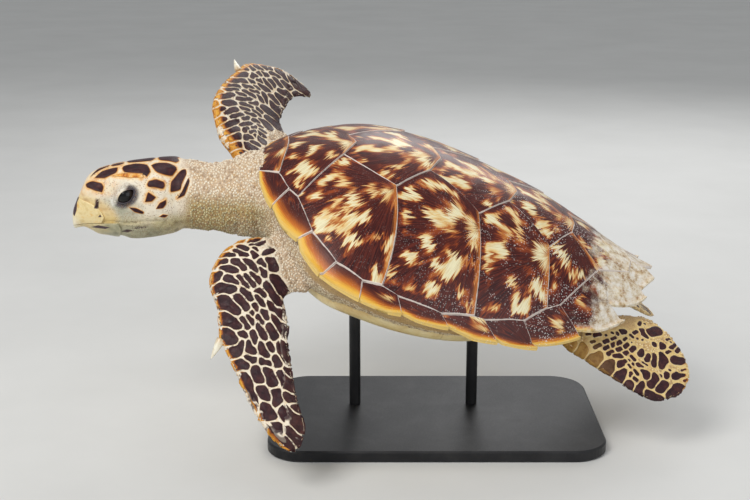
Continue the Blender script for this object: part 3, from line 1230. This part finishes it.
def limbShare(limb, flat):
    # share along the limb and across it, from its leading edge
    s = np.linspace(0, 1, 200)
    a, b = limbEdges(limb, s)
    t = np.clip(((flat[:, None] - a) * (b - a)).sum(2) / ((b - a) ** 2).sum(1), -0.3, 1.3)
    far = np.linalg.norm(flat[:, None] - a - t[..., None] * (b - a), axis=2)
    pick = np.argmin(far, axis=1)
    return np.column_stack([s[pick], t[np.arange(len(flat)), pick]])


def flatFromShare(limb, shares):
    a, b = limbEdges(limb, shares[:, 0])
    return a + (b - a) * shares[:, 1:2]


def limbFringe(name, limb):
    def fringe(flat):
        # amber along the leading edge of a front flipper and the tip of a rear one
        share = limbShare(limb, flat)
        if name.startswith("rear"):
            return smooth(0.8, 1.0, share[:, 0])
        width = np.interp(share[:, 0], [0, 0.5, 1], [70, 60, 25])
        return 1 - smooth(0.2, 1.0, share[:, 1] * width / scaleMake["fringe"])
    return fringe


def makeScaleMaterial():
    material, tree, place = startMaterial("flipperScale", {"Specular IOR Level": 0.25})
    inset, dark, fringe = split(attribute(tree, "scale"))
    mottle = noiseOf(place, 150.0, 4.0)
    brown = ramp(mottle, (0.3, 0.016, 0.005, 0.008), (0.55, 0.042, 0.011, 0.014), (0.75, 0.085, 0.026, 0.02))
    tan = ramp(mottle, (0.3, 0.26, 0.11, 0.02), (0.55, 0.46, 0.26, 0.06), (0.75, 0.17, 0.06, 0.02))
    orange = ramp(mottle, (0.35, 0.42, 0.11, 0.02), (0.5, 0.78, 0.36, 0.06), (0.65, 0.8, 0.58, 0.3))
    middle = blend(ranged(dark, 0.2, 0.85), tan, brown)
    middle = blend(ranged(dark, -0.8, -0.3, 1.0, 0.0), middle, orange)
    lead = fringe + (mottle - 0.5) * 0.5
    middle = blend(ranged(lead, 0.5, 0.72), middle, (0.34, 0.09, 0.014))
    middle = blend(ranged(lead, 0.68, 0.95), middle, (0.72, 0.36, 0.05))
    # amber shows through the thin rim, and widest on fringed scales
    rim = (inset + (mottle - 0.5) * 0.9) / (fringe * 3.0 + 0.35)
    colour = blend(ranged(rim, 0.75, 1.25, 1.0, 0.0), middle, (0.28, 0.07, 0.012))
    colour = blend(ranged(rim, 0.45, 0.95, 1.0, 0.0), colour, (0.62, 0.27, 0.03))
    colour = blend(ranged(inset, 0.08, 0.5, 1.0, 0.0), colour, (0.74, 0.64, 0.46))
    dust = worn(tree, 80.0, 0.4)[1]
    rings = wavesOf(combine(inset, mottle), 0.45, 3.0)
    gloss = ranged(noiseOf(place, 900.0, 3.0, 0.65), 0.2, 0.8, 0.34, 0.5)
    return endMaterial(material, colour, gloss, rings * 0.5 + dust * 0.6, 0.4, 0.0004)


def seedsOn(name, limb):
    # the right rear flipper carries the left one's spots at the same shares
    rows = {"frontLeft": nearSeeds, "frontRight": farSeeds}.get(name, rearSeeds)
    seeds = np.array([row[:4] for row in rows], float)
    if name == "rearRight":
        seeds = np.hstack([flatFromShare(limb, limbShare(limbs["rearLeft"], seeds[:, k:k + 2])) for k in (0, 2)])
    if name.startswith("rear"):
        return seeds, np.array([row[4] for row in rows], float) * scaleMake["spotSpread"], rearDarks(middlesOf(seeds))
    shares = limbShare(limb, middlesOf(seeds))
    atRoot = (shares[:, 0] < 0.2) & (shares[:, 1] > 0.4)
    return seeds, np.where(atRoot, scaleMake["rootWidest"], scaleMake["widest"]), np.ones(len(seeds))


scaleMaterial = makeScaleMaterial()
for name, limb in limbs.items():
    outline = limbOutline(limb)
    seeds, widths, darks = seedsOn(name, limb)
    cells = cellOutlines(seeds, outline, widths)
    tree = BVHTree.FromBMesh(limbBody(limb, -fleshMake["coat"], around=72, along=110))
    low, high = outline.min(0), outline.max(0)
    for face, faceName, start, dim in ((1, "upper", 0.02, 1), (-1, "under", 0.52, scaleMake["underside"])):
        patchPlace = lambda p, begin=start: (p - low) / (high - low) * [0.46, 0.94] + [begin, 0.03]
        scales = layScales(f"scales_{name}_{faceName}", cells, darks * dim, limbSurface(limb, tree, outline, face),
                           patchPlace, limbFringe(name, limb))
        finishPiece(scales, scaleMaterial, "flipper")
print("flipper scales laid")

# Head scales: corners as millimetres back and degrees round from the top, one side of each pair.
headScales = {
    "nostril": ((18, 29), (25.4, 30), (37.3, 41), (39.5, 49), (37, 59), (29.9, 53), (19.3, 39)),
    "prefrontal": ((28.4, 26), (37.1, 17), (55.8, 17), (54.9, 28), (40.8, 33)),
    "brow": ((48, 32), (61, 31.5), (85, 38), (86, 44), (68, 40)),
    "crownFront": ((23, 20), (34, 3), (46, 2.5), (45, 8), (34, 13.5)),
    "crownBack": ((47.5, 8), (48.5, 2.5), (62, 2.5), (62.4, 9), (57, 13), (50, 12)),
    "supraocular": ((60.6, 21), (62.8, 16), (76.7, 15), (89.6, 21), (94.3, 34), (89.5, 43), (85, 36), (77, 35),
                    (63.1, 30)),
    "parietal": ((94.2, 23), (101.1, 19), (112.7, 20), (122.9, 24), (124.1, 29), (118.2, 42), (110.3, 41), (100, 36)),
    "temporal": ((116.9, 50), (128.5, 30), (134.2, 27), (135, 37), (129.2, 53), (127.9, 63), (115.4, 67)),
    "temporalLow": ((123.1, 79), (129, 67), (137, 43), (138.5, 50), (132.2, 73)),
    "behindEyeHigh": ((89.5, 54), (91.8, 49), (99.9, 47), (109, 51), (110, 57), (107.6, 62), (98.5, 59), (90.5, 58)),
    "behindEyeLow": ((86.4, 83), (90.3, 66), (99.3, 75), (94.5, 82)),
    "cheek": ((98.6, 96), (103.5, 85), (110.5, 80), (110.3, 88), (106.7, 95)),
    "belowEye": ((67.6, 94), (75.7, 94), (84.7, 101), (83.4, 105), (74.3, 102)),
    "cheekLow": ((101.6, 111), (106.3, 107.5), (112, 110), (108.5, 113)),
}
crownScales = {
    "frontal": ((65, 0), (68.5, 9.5), (82, 12), (96, 12), (99, 0), (96, -12), (82, -12), (68.5, -9.5)),
    "frontoparietal": ((102, 0), (103.5, 12), (111, 15), (123, 17), (127, 8), (124, 0), (127, -8),
                       (123, -17), (111, -15), (103.5, -12)),
}
headChart = {"radius": 38.0, "axis": -22.0}


def onHead(flat):
    points, normals = np.zeros((2, len(flat), 3))
    starts = headPoint(flat[:, 0], 0, headChart["axis"])
    for i, (start, turn) in enumerate(zip(starts, flat[:, 1] / headChart["radius"])):
        way = Vector(-headSide * math.sin(turn) + np.array([0, 0, math.cos(turn)]))
        hit, normal, _, _ = skinTree.ray_cast(Vector(start), way, 0.1)
        if hit is None:
            hit, normal = Vector(start) + way * 0.02, way
        points[i], normals[i] = hit, normal
    return points, normals


cells, looks = [], []
for side, table in ((1, headScales), (-1, headScales), (1, crownScales)):
    for name, corners in table.items():
        cells.append(evenOutline(np.array(corners, float) * [1, side * math.radians(headChart["radius"])]))
        looks.append(-1.0 if name == "brow" else 1.0)
headPatch = lambda p: np.array([0.05 + 0.9 * p[0] / 145, 0.5 + 0.45 * p[1] / (headChart["radius"] * math.pi)])
headLaid = layScales("scales_head", cells, looks, onHead, headPatch, lambda flat: np.full(len(flat), 0.3))
finishPiece(headLaid, scaleMaterial, "head")
print("head scales laid")

# Where the skin is olive, yellow or grey, shaded, pale or warm; the pebbled hide keeps off the scales.
zoneMake = {"paintReach": -0.9, "eyeShade": ((0.5, -1.5), (18.0, 13.0)), "axis": [-30, -22, -20, -17, -20, -18],
            "reach": [20, 34, 40, 40, 42, 50], "places": [0, 60, 110, 137, 180, 230]}


def underRim(along, side, height):
    # the smooth yellow underside just below the shell's rim
    side = np.abs(side)
    drop = domeHeight(along, np.minimum(side, 0.42)) - height
    outwards = side / np.maximum(trunkMake["half"](along), 0.05) * 0.3
    return smooth(0.14, 0.2, along) * (1 - smooth(0.06, 0.085, drop)) * smooth(0.2, 0.28, outwards)


def zonesOf(points):
    # (olive, yellow, grey) and (shade round the eye, pale lid, warm speckle)
    back, across, up = headPlace(points)
    along, side, height = backToShell(points).T
    head = 1 - smooth(128, 142, back)
    axis, reach = (np.interp(back, zoneMake["places"], zoneMake[key]) for key in ("axis", "reach"))
    low = (axis - up) / reach
    inNeck = (1 - head) * (1 - smooth(0.03, 0.1, along))
    belly = (height < bellyHeight(along, side) + 0.02) & (along > 0.05)
    limb = np.zeros(len(points))
    for name, one in limbs.items():
        away = np.abs((np.asarray(points) - one["root"]) @ one["up"]) / mm
        inLimb = (insideOutline(flatOnLimb(one, points), limbOutline(one)) > -3) & (away < 22)
        limb = np.maximum(limb, np.where(inLimb, 2 if name.startswith("rear") else 1, 0))
    trunk = (1 - head) * (1 - inNeck) * (limb == 0)
    rimZone = trunk * underRim(along, side, height)
    olive = inNeck * smooth(-0.35, 0.2, low) + head * 0.85 * smooth(0.2, 0.65, low)
    olive = np.where(limb > 0, 0, np.clip(olive + trunk * (0.5 * smooth(-0.02, -0.09, height) + 0.2 * belly), 0, 1))
    olive = olive * (1 - 0.7 * rimZone)
    sheath = head * (1 - smooth(0, 10, -insideOutline(np.column_stack([back, up]), headMake["upperBeak"])))
    yellow = np.max([rimZone, sheath * 0.8, trunk * 0.35 * smooth(0.1, 0.3, along)], axis=0)
    muzzle = np.clip(1.25 * (1 - np.hypot((back - 54) / 34, (up + 27) / 18)), 0, 1) ** 0.7
    grey = head * (1 - sheath) * muzzle + head * 0.7 * smooth(0.6, 0.9, low) * (1 - smooth(90, 125, back))
    shade, lid = np.zeros((2, len(points)))
    (middleX, middleY), (halfX, halfY) = zoneMake["eyeShade"]
    for eyeSide in (-1, 1):
        x, y, out, open_ = eyePlace(points, eyeSide)
        region = np.hypot((x - middleX) / halfX, (y - middleY) / halfY)
        upperFront = (out > 2) * smooth(1.5, 6.5, y - 0.35 * x)
        shade = np.maximum(shade, (out > 2) * (1 - smooth(0.78, 1.06, region)) * (1 - 0.8 * upperFront))
        stripes = 0.35 + 0.65 * (0.5 + 0.5 * lidWave(open_))
        lid = np.maximum(lid, stripes * (1 - smooth(1.0, 1.25, region)) * smooth(1.12, 1.25, open_) * upperFront)
    warm = np.clip(inNeck * smooth(0.35, -0.3, low) + 0.8 * trunk * (along < 0.2) + 0.6 * (limb == 1), 0, 1)
    return (olive, np.where(limb == 2, 1.0, yellow), grey), (shade, lid, warm)


def darkFrom(points):
    # how dark the nearest scale is under it, and how far its edge is away
    spots, dark, reach = (np.concatenate(paint[key]) for key in ("points", "dark", "reach"))
    tree = KDTree(len(spots))
    for i, p in enumerate(spots):
        tree.insert(p, i)
    tree.balance()
    _, nearest, far = zip(*[tree.find(p) for p in points])
    nearest = np.array(nearest)
    away = np.array(far) - 0.8 * reach[nearest]
    return np.where(away < zoneMake["paintReach"] * mm, dark[nearest], 0), away


def hideColours(tree, zone, shadeZone):
    # colours of bare hide from its zone, the same under the granules and on them
    (olive, yellow, grey), (shade, lid, warm) = split(zone), split(shadeZone)
    place = objectPlace(tree)
    mottle, speck = noiseOf(place, 95.0, 4.0), noiseOf(place, 420.0, 3.0, 0.65)
    colour = ramp(mottle, (0.3, 0.7, 0.6, 0.45), (0.5, 0.82, 0.75, 0.62), (0.7, 0.78, 0.68, 0.5))
    tan = ramp(speck, (0.35, 0.42, 0.2, 0.075), (0.6, 0.72, 0.5, 0.27))
    colour = blend(warm * ranged(speck, 0.46, 0.6) * ranged(mottle, 0.36, 0.56) * 0.85, colour, tan)
    oliveTone = ramp(mottle, (0.3, 0.2, 0.15, 0.045), (0.48, 0.4, 0.33, 0.12), (0.62, 0.55, 0.47, 0.22),
                     (0.75, 0.3, 0.22, 0.07))
    colour = blend(olive * ranged(noiseOf(place, 22.0, 3.0, 0.5), 0.25, 0.6, 0.6, 1.0), colour, oliveTone)
    colour = blend(olive * ranged(mottle, 0.56, 0.66) * 0.7, colour, (0.09, 0.055, 0.022))
    yellowTone = ramp(mottle, (0.3, 0.58, 0.34, 0.07), (0.55, 0.72, 0.52, 0.17), (0.7, 0.46, 0.26, 0.06))
    colour = blend(yellow * 0.85, colour, yellowTone)
    greyTone = ramp(mottle, (0.3, 0.16, 0.17, 0.11), (0.6, 0.36, 0.36, 0.25), (0.75, 0.24, 0.22, 0.14))
    colour = blend(grey * 0.85, colour, greyTone)
    colour = blend(lid, blend(shade, colour, (0.055, 0.045, 0.055)), (0.74, 0.72, 0.66))
    return {"Color": colour, "Fine": speck}


hideGroup = makeGroup("hideColours", {"Zone": "Vector", "Shade": "Vector"}, {"Color": "Color", "Fine": "Float"},
                      hideColours)


def placeHide(tree):
    return placeGroup(tree, hideGroup, {"Zone": attribute(tree, "zone"), "Shade": attribute(tree, "shade")})


def makeHideMaterial():
    material, tree, place = startMaterial("turtleHide")
    hide, fine = placeHide(tree)
    dark, rough, amber = split(attribute(tree, "mark"))
    crease = cellsOf(place, 420.0, "DISTANCE_TO_EDGE")
    colour = blend(rough * 0.5, hide, (0.5, 0.28, 0.12))
    colour = blend(ranged(crease, 0.0, 0.14, 1.0, 0.0) * rough * 0.4, colour, (0.2, 0.11, 0.05))
    darkTone = ramp(noiseOf(place, 150.0, 4.0), (0.3, 0.016, 0.005, 0.008), (0.7, 0.07, 0.02, 0.018))
    amberTone = ramp(noiseOf(place, 130.0), (0.4, 0.76, 0.6, 0.36), (0.55, 0.78, 0.42, 0.1), (0.7, 0.5, 0.18, 0.03))
    colour = blend(dark, blend(amber, colour, amberTone), darkTone)
    dust = worn(tree, 90.0, 0.5)[1]
    height = ranged(crease, 0.0, 0.3) * rough + dust * 0.4 + fine * 0.3
    return endMaterial(material, colour, ranged(fine, 0.2, 0.8, 0.42, 0.62), height, 0.6, 0.0006)


def makeGranuleMaterial():
    material, tree, _ = startMaterial("granules")
    hide, fine = placeHide(tree)
    crown, chance, _ = split(attribute(tree, "grain"))
    # each granule is paler on its crown, and no two are quite alike
    colour = blend(ranged(crown, 0.55, 1.0) * 0.35, hide, (0.9, 0.84, 0.7))
    colour = blend(ranged(chance, 0.72, 0.85) * 0.7, colour, (0.3, 0.16, 0.07))
    colour = blend(ranged(crown, 0.1, 0.45, 1.0, 0.0) * 0.4, colour, (0.24, 0.13, 0.06))
    return endMaterial(material, colour, ranged(fine, 0.2, 0.8, 0.36, 0.58), fine, 0.3, 0.0002)


beakStreaks = {
    "front": ((1.7, -16), (9.8, -14.5), (6.2, -22), (5.2, -31), (2.2, -39), (0.5, -37)),
    "patch": ((26.6, -27), (29.5, -15.5), (33.3, -16), (31.6, -27)),
    "small": ((30.5, -37.5), (33.4, -33.5), (35, -37)),
    "jawFront": ((20, -51.5), (30, -48), (44, -50), (38, -52.5)),
    "jawRear": ((56, -56), (63, -52.5), (72, -53), (64, -57)),
    "jawLast": ((68, -50.5), (78, -47.6), (90, -48.5), (80, -52)),
}


def streaksAt(back, up, names):
    flat = np.column_stack([back, up])
    return np.max([smooth(-0.8, 0.8, insideOutline(flat, beakStreaks[name])) for name in names], axis=0)


skinPoints = pointsOf(skin.data)
zone, shade = zonesOf(skinPoints)
darkness, awayFromScales = darkFrom(skinPoints)
setAttribute(skin.data, "zone", *zone)
setAttribute(skin.data, "shade", *shade)
skinBack, _, skinUp = headPlace(skinPoints)
headness = 1 - smooth(120, 140, skinBack)
inPatch = headness * streaksAt(skinBack, skinUp, ("patch", "jawRear", "jawLast"))
besideScales = 0.85 * (1 - smooth(0.8, 3.8, awayFromScales / mm))
onSnout = 0.5 * (1 - smooth(40, 75, skinBack)) * smooth(-16, -8, skinUp)
# close to the scales of the limbs the hide is smooth and pale
rough = (1 - headness) * smooth(1.5, 4.0, awayFromScales / mm)
setAttribute(skin.data, "mark", np.maximum(darkness, inPatch), rough,
             headness * smooth(-30, -12, skinUp) * np.maximum(besideScales, onSnout))
finishPiece(skin, makeHideMaterial(), "skin", "head", "neck", "trunk", "tail",
            *[limb["node"] for limb in limbs.values()])
print("skin painted")

# Granules: radius and height in millimetres; space is in radii.
granuleMake = {
    "face": {"radius": 0.62, "height": 0.3, "count": 5200},
    "neck": {"radius": 1.55, "height": 1.05, "count": 8600},
    "body": {"radius": 1.45, "height": 0.7, "count": 8600},
    "space": 1.72, "seed": 11, "patch": 0.0015,
}


def granuleSpots(where, radius, count):
    # spots on the skin no nearer to each other than a granule's width
    mesh = skin.data
    generator = np.random.default_rng(granuleMake["seed"])
    faces = np.nonzero(where)[0]
    picks = generator.choice(faces, min(len(faces) * 3, 60000))
    grid, spots, normals = {}, [], []
    cell = radius * granuleMake["space"] * mm
    around = [(i, j, k) for i in (-1, 0, 1) for j in (-1, 0, 1) for k in (-1, 0, 1)]
    for face in picks:
        polygon = mesh.polygons[int(face)]
        corners = [mesh.vertices[i].co for i in polygon.vertices]
        weights = generator.dirichlet(np.ones(len(corners)))
        p = sum((c * float(w) for c, w in zip(corners, weights)), Vector())
        key = tuple(int(math.floor(x / cell)) for x in p)
        near = [q for step in around for q in grid.get(tuple(map(sum, zip(key, step))), ())]
        if all((p - q).length > cell for q in near):
            grid.setdefault(key, []).append(p)
            spots.append(p)
            normals.append(polygon.normal.copy())
            if len(spots) >= count:
                break
    return np.array(spots), np.array(normals)


def granuleUnwrap(points):
    # head and neck unrolled round their axis, the trunk round its own
    back, across, up = headPlace(points)
    along, side, height = backToShell(points).T
    front = along < 0.02
    angle = np.where(front, np.arctan2(across, up + 20), np.arctan2(side, height + 0.02)) / (2 * math.pi) + 0.5
    down = np.where(front, np.clip(back / 280, 0, 1) * 0.46 + 0.02, 0.52 + 0.46 * np.clip(along, 0, 1))
    return np.column_stack([down, 0.02 + 0.96 * angle])


granuleMaterial = makeGranuleMaterial()


def layGranules(part, where, slotName):
    settings = granuleMake[part]
    spots, normals = granuleSpots(where, settings["radius"], settings["count"])
    generator = np.random.default_rng(len(spots))
    unitBall = bmesh.new()
    bmesh.ops.create_icosphere(unitBall, subdivisions=1, radius=1)
    unit = vertsOf(unitBall)
    obj = repeated(unitBall, len(spots), "granules" + part.capitalize())
    # the long way runs round the neck and back along the flanks
    lie = np.cross(normals, headWay)
    lie /= np.maximum(lengths(lie)[:, None], 1e-6)
    cross = np.cross(normals, lie)
    size = settings["radius"] * mm * generator.uniform(0.72, 1.18, (len(spots), 2)) * [1.2, 0.95]
    swing = generator.uniform(-0.5, 0.5, len(spots))[:, None]
    one, two = lie * np.cos(swing) + cross * np.sin(swing), cross * np.cos(swing) - lie * np.sin(swing)
    tall = settings["height"] * mm * generator.uniform(0.7, 1.25, len(spots))
    placed = spots[:, None] + sum(way[:, None] * (unit[None, :, k] * long[:, None])[..., None] for k, (way, long) in
                                  enumerate(((one, size[:, 0]), (two, size[:, 1]), (normals, tall))))
    setPoints(obj.data, placed.reshape(-1, 3))
    each = lambda values: np.repeat(values, len(unit))
    zone, shade = zonesOf(spots)
    setAttribute(obj.data, "zone", *map(each, zone))
    setAttribute(obj.data, "shade", *map(each, shade))
    crown = np.tile(unit[:, 2] * 0.5 + 0.5, len(spots))
    setAttribute(obj.data, "grain", crown, each(generator.uniform(0, 1, len(spots))), 0)
    spread = unit[:, :2] * (0.35 + 0.65 * (unit[:, 2:] < 0)) * granuleMake["patch"]
    bakePatches(obj.data, (granuleUnwrap(spots)[:, None] + spread[None]).reshape(-1, 2))
    finishPiece(obj, granuleMaterial, slotName)


faceMiddles = np.array([p.center for p in skin.data.polygons])
faceBack, _, faceUp = headPlace(faceMiddles)
faceAlong, faceSide, faceHeight = backToShell(faceMiddles).T
clear = np.array([min(awayFromScales[i] for i in p.vertices) > mm for p in skin.data.polygons])
clear &= ~hiddenFlesh(faceMiddles)
openness = [np.where(out > 2, open_, 9) for _, _, out, open_ in (eyePlace(faceMiddles, side) for side in (-1, 1))]
bareFace = (np.minimum(*openness) > 1.25) & (inBeaks(faceBack, faceUp) < -0.5)
layGranules("face", (faceBack < 138) & (faceBack > 30) & clear & bareFace, "head")
layGranules("neck", (faceBack >= 138) & (faceAlong < 0.05) & clear, "skin")
layGranules("body", (faceAlong >= 0.05) & clear & (underRim(faceAlong, faceSide, faceHeight) < 0.5), "skin")
print("granules laid")

# Beak; its edge rows: the levels, and how far back the horn reaches at each.
beakMake = {
    "voxel": 0.0007, "sink": 0.6,
    "upperBeak": ((-52, -46, -38, -31, -26, -21.5, -19, -17, -15), (42, 44, 47, 44, 39, 32, 25, 17, 9)),
    "lowerBeak": ((-84, -70, -62, -53, -44), (50, 56, 62, 64, 61)),
}


def makeBeakMaterial():
    material, tree, place = startMaterial("hornyBeak", {"Coat Weight": 0.2, "Coat Roughness": 0.25})
    streak, rearward, tip = split(attribute(tree, "streak"))
    mottle = noiseOf(place, 120.0, 4.0)
    layered = wired(tree, "ShaderNodeVectorMath", {0: place, 1: (140.0, 140.0, 900.0)}, operation="MULTIPLY")
    fine = noiseOf(layered, 1.0)
    cream = ramp(mottle, (0.3, 0.66, 0.48, 0.2), (0.5, 0.78, 0.64, 0.34), (0.7, 0.72, 0.44, 0.12))
    rear = ramp(mottle, (0.3, 0.17, 0.17, 0.1), (0.6, 0.4, 0.38, 0.24))
    colour = blend(tip * 0.8, blend(rearward, cream, rear), (0.78, 0.76, 0.62))
    colour = blend(ranged(streak + (mottle - 0.5) * 0.5, 0.35, 0.6), colour, (0.05, 0.022, 0.03))
    dust = worn(tree, 70.0, 0.5)[1]
    return endMaterial(material, colour, ranged(fine, 0.2, 0.8, 0.26, 0.45), fine + dust * 0.5, 0.35, 0.0003)


def makeBeak(name, node):
    outline = headMake[name]
    prism = bmesh.new()
    bmesh.ops.create_circle(prism, cap_ends=True, segments=len(outline), radius=1)
    for v, (back, up) in zip(prism.verts, outline):
        v.co = Vector(headPoint(back, -50, up))
    far = bmesh.ops.extrude_face_region(prism, geom=prism.faces[:])["geom"]
    bmesh.ops.translate(prism, verts=[g for g in far if isinstance(g, bmesh.types.BMVert)], vec=Vector(headSide * 0.1))
    bmesh.ops.recalc_face_normals(prism, faces=prism.faces[:])
    cutter = objectFrom(prism, name + "Cutter")
    beak = objectFrom(levelBody(headMake["rows"], **headShape), name)
    modify(beak, "BOOLEAN", operation="INTERSECT", object=cutter)
    modify(beak, "REMESH", mode="VOXEL", voxel_size=beakMake["voxel"])
    modify(beak, "SMOOTH", factor=0.5, iterations=3)
    appliedModifiers(beak)
    bpy.data.objects.remove(cutter)
    points = pointsOf(beak.data)
    back, _, up = headPlace(points)
    behind = back - np.interp(up, *beakMake[name])
    # the horn thins away to the skin behind it
    sink = smooth(0.0, 1.0, behind / 5.0) * beakMake["sink"]
    setPoints(beak.data, points + towardsCore(points, np.clip(back, 10, 130), -30) * sink[:, None])
    faded = 0.3 * smooth(-9, 1, behind) if name == "upperBeak" else 0.35 + 0.6 * smooth(20, 50, back)
    tip = (1 - smooth(0, 12, back)) * smooth(-30, -48, up)
    setAttribute(beak.data, "streak", streaksAt(back, up, beakStreaks), faded, tip)
    finishPiece(beak, beakMaterial, "beak", node)


beakMaterial = makeBeakMaterial()
makeBeak("upperBeak", "upper_beak")
makeBeak("lowerBeak", "lower_beak")
print("beak made")

# Claws: each one's limb, root and tip in the limb's plane, in millimetres.
claws = {"left": ("frontLeft", (94, -72), (114, -86)), "right": ("frontRight", (-2, -158), (4, -176))}
clawMake = {"radius": 5.2, "slimming": 0.93, "flatness": 0.72, "bend": 2.2}


def makeClawMaterial():
    material, tree, place = startMaterial("clawHorn", {"Coat Weight": 0.2, "Coat Roughness": 0.2})
    grain = noiseOf(place, 260.0, 4.0)
    horn = ramp(grain, (0.3, 0.66, 0.56, 0.38), (0.6, 0.82, 0.78, 0.64))
    colour = blend(ranged(attribute(tree, "reach", "Fac"), 0.0, 0.4, 0.7, 0.0), horn, (0.5, 0.32, 0.14))
    return endMaterial(material, colour, ranged(grain, 0.3, 0.7, 0.25, 0.4), grain, 0.3, 0.0003)


clawMaterial = makeClawMaterial()
for name, (limbName, start, tip) in claws.items():
    limb = limbs[limbName]
    root, end = (Vector(onLimb(limb, place).ravel()) for place in (start, tip))
    up = Vector(limb["up"]).normalized()
    side = (end - root).normalized().cross(up).normalized()
    bm = bmesh.new()
    bmesh.ops.create_cone(bm, cap_ends=True, segments=28, radius1=1, radius2=1, depth=1)
    bmesh.ops.subdivide_edges(bm, edges=[e for e in bm.edges if abs(e.verts[0].co.z - e.verts[1].co.z) > 0.5], cuts=14)
    shares = [v.co.z + 0.5 for v in bm.verts]
    for v, t in zip(bm.verts, shares):
        slim = max(1 - clawMake["slimming"] * t ** 1.5, 0.03) * clawMake["radius"] * mm
        bend = clawMake["bend"] * mm * math.sin(t * math.pi / 2) ** 2
        v.co = root + (end - root) * t + side * (v.co.x * slim) + up * (v.co.y * slim * clawMake["flatness"] - bend)
    bmesh.ops.recalc_face_normals(bm, faces=bm.faces[:])
    claw = objectFrom(bm, "claw_" + name)
    setAttribute(claw.data, "reach", shares)
    finishPiece(claw, clawMaterial, "claw", "claw_front_" + name)

# Lower shell: millimetres, and its cross seams as shares of the shell's length.
lowerMake = {"below": -1.2, "thick": 9.8, "seams": (0.14, 0.235, 0.37, 0.5, 0.62, 0.76), "seamWidth": 1.0,
             "seamDepth": 0.8}


def lowerSeam(along, across):
    # millimetres to the nearest seam
    waves = [np.abs(along - x + 0.01 * np.cos(across * 9)) for x in lowerMake["seams"]]
    return np.minimum.reduce([*waves, np.abs(across)]) * body["length"] / mm


def lowerPlace(s, t, side):
    along = plastronRows[0][0] + (plastronRows[-1][0] - plastronRows[0][0]) * s
    half = plastronHalf(along)
    across = (2 * t - 1) * half
    top = bellyHeight(along, across) - lowerMake["below"] * mm / body["length"]
    edge = np.minimum(np.minimum(t, 1 - t) * 2 * half, np.minimum(s, 1 - s)) / 0.02
    soft = np.sqrt(np.clip(1 - (1 - np.clip(edge, 0, 1)) ** 2, 0, 1))
    groove = np.exp(-(lowerSeam(along, across) / lowerMake["seamWidth"]) ** 2) * lowerMake["seamDepth"]
    thick = lowerMake["thick"] * (0.35 + 0.65 * soft) - groove
    return inShell(np.column_stack([along, across, top - (1 - side) * thick * mm / body["length"]]))


def makeLowerMaterial():
    material, tree, place = startMaterial("lowerShellHorn", {"Coat Weight": 0.15, "Coat Roughness": 0.3})
    fine = noiseOf(place, 420.0)
    colour = ramp(noiseOf(place, 35.0, 5.0), (0.3, 0.62, 0.42, 0.16), (0.5, 0.78, 0.62, 0.3), (0.68, 0.82, 0.7, 0.42))
    colour = blend(ranged(attribute(tree, "seam", "Fac"), 0.0, 1.6, 0.75, 0.0), colour, (0.3, 0.17, 0.07))
    dust = worn(tree, 50.0, 0.5)[1]
    return endMaterial(material, colour, ranged(fine, 0.2, 0.8, 0.32, 0.5), fine + dust, 0.3, 0.0004)


lowerShell = objectFrom(slabBody(110, lowerPlace), "lowerShell")
setAttribute(lowerShell.data, "seam", lowerSeam(*backToShell(pointsOf(lowerShell.data)).T[:2]))
finishPiece(lowerShell, makeLowerMaterial(), "plastron", "plastron")
print("lower shell made")

def makeStandMaterial():
    material, tree, place = startMaterial("satinBlackMetal", {"Metallic": 0.6, "Specular IOR Level": 0.4})
    grain = noiseOf(place, 700.0)
    film, _ = worn(tree, 30.0, 0.6)
    colour = ramp(noiseOf(place, 9.0, 4.0), (0.3, 0.018, 0.018, 0.02), (0.7, 0.03, 0.03, 0.032))
    return endMaterial(material, blend(film * 0.3, colour, (0.09, 0.09, 0.09)), ranged(grain, 0.2, 0.8, 0.38, 0.52),
                       grain, 0.25, 0.0002)


standMaterial = makeStandMaterial()
for name in ("stand_base", "stand_rod_front", "stand_rod_rear"):
    node = bpy.data.objects[name]
    node.data.materials.clear()
    node.data.materials.append(standMaterial)
print("stand finished")

# Camera, light and floor.
view = {"place": (-0.07295, -1.51105, 0.62595), "down": 15, "lens": 62.4}
studio = {
    "lamps": [
        ("lampKey", (-1.3, -1.6, 2.2), 1.3, 52, (1, 0.98, 0.95)),
        ("lampFill", (1.8, -1.9, 1.1), 2.0, 18, (0.95, 0.97, 1)),
        ("lampRear", (0.6, 1.9, 1.8), 1.6, 26, (1, 1, 1)),
    ],
    "aim": (-0.05, 0, 0.28), "world": (0.86, 0.88, 0.9, 1), "worldStrength": 0.5, "floorSize": 40,
}
scene = bpy.context.scene
scene.view_settings.view_transform = "Standard"
cameraData = bpy.data.cameras.new("camera")
cameraData.lens = view["lens"]
cameraData.sensor_width = 36
scene.camera = linked(bpy.data.objects.new("camera", cameraData))
scene.camera.location = view["place"]
scene.camera.rotation_euler = (math.radians(90 - view["down"]), 0, 0)
for name, place, size, power, colour in studio["lamps"]:
    lampData = bpy.data.lights.new(name, "AREA")
    lampData.size, lampData.energy, lampData.color = size, power, colour
    lamp = linked(bpy.data.objects.new(name, lampData))
    lamp.location = place
    lamp.rotation_euler = (Vector(studio["aim"]) - Vector(place)).to_track_quat("-Z", "Y").to_euler()
scene.world = bpy.data.worlds.new("studioWorld")
scene.world.use_nodes = True
background = scene.world.node_tree.nodes["Background"].inputs
background[0].default_value, background[1].default_value = studio["world"], studio["worldStrength"]

floorMaterial, _, floorPlace = startMaterial("paleFloor", {"Roughness": 0.85})
endMaterial(floorMaterial, ramp(noiseOf(floorPlace, 3.0, 6.0), (0.3, 0.6, 0.6, 0.585), (0.7, 0.65, 0.65, 0.635)))
bm = bmesh.new()
bmesh.ops.create_grid(bm, x_segments=8, y_segments=8, size=studio["floorSize"])
studioFloor = objectFrom(bm, "studioFloor")
studioFloor.data.materials.append(floorMaterial)
print("studio set")
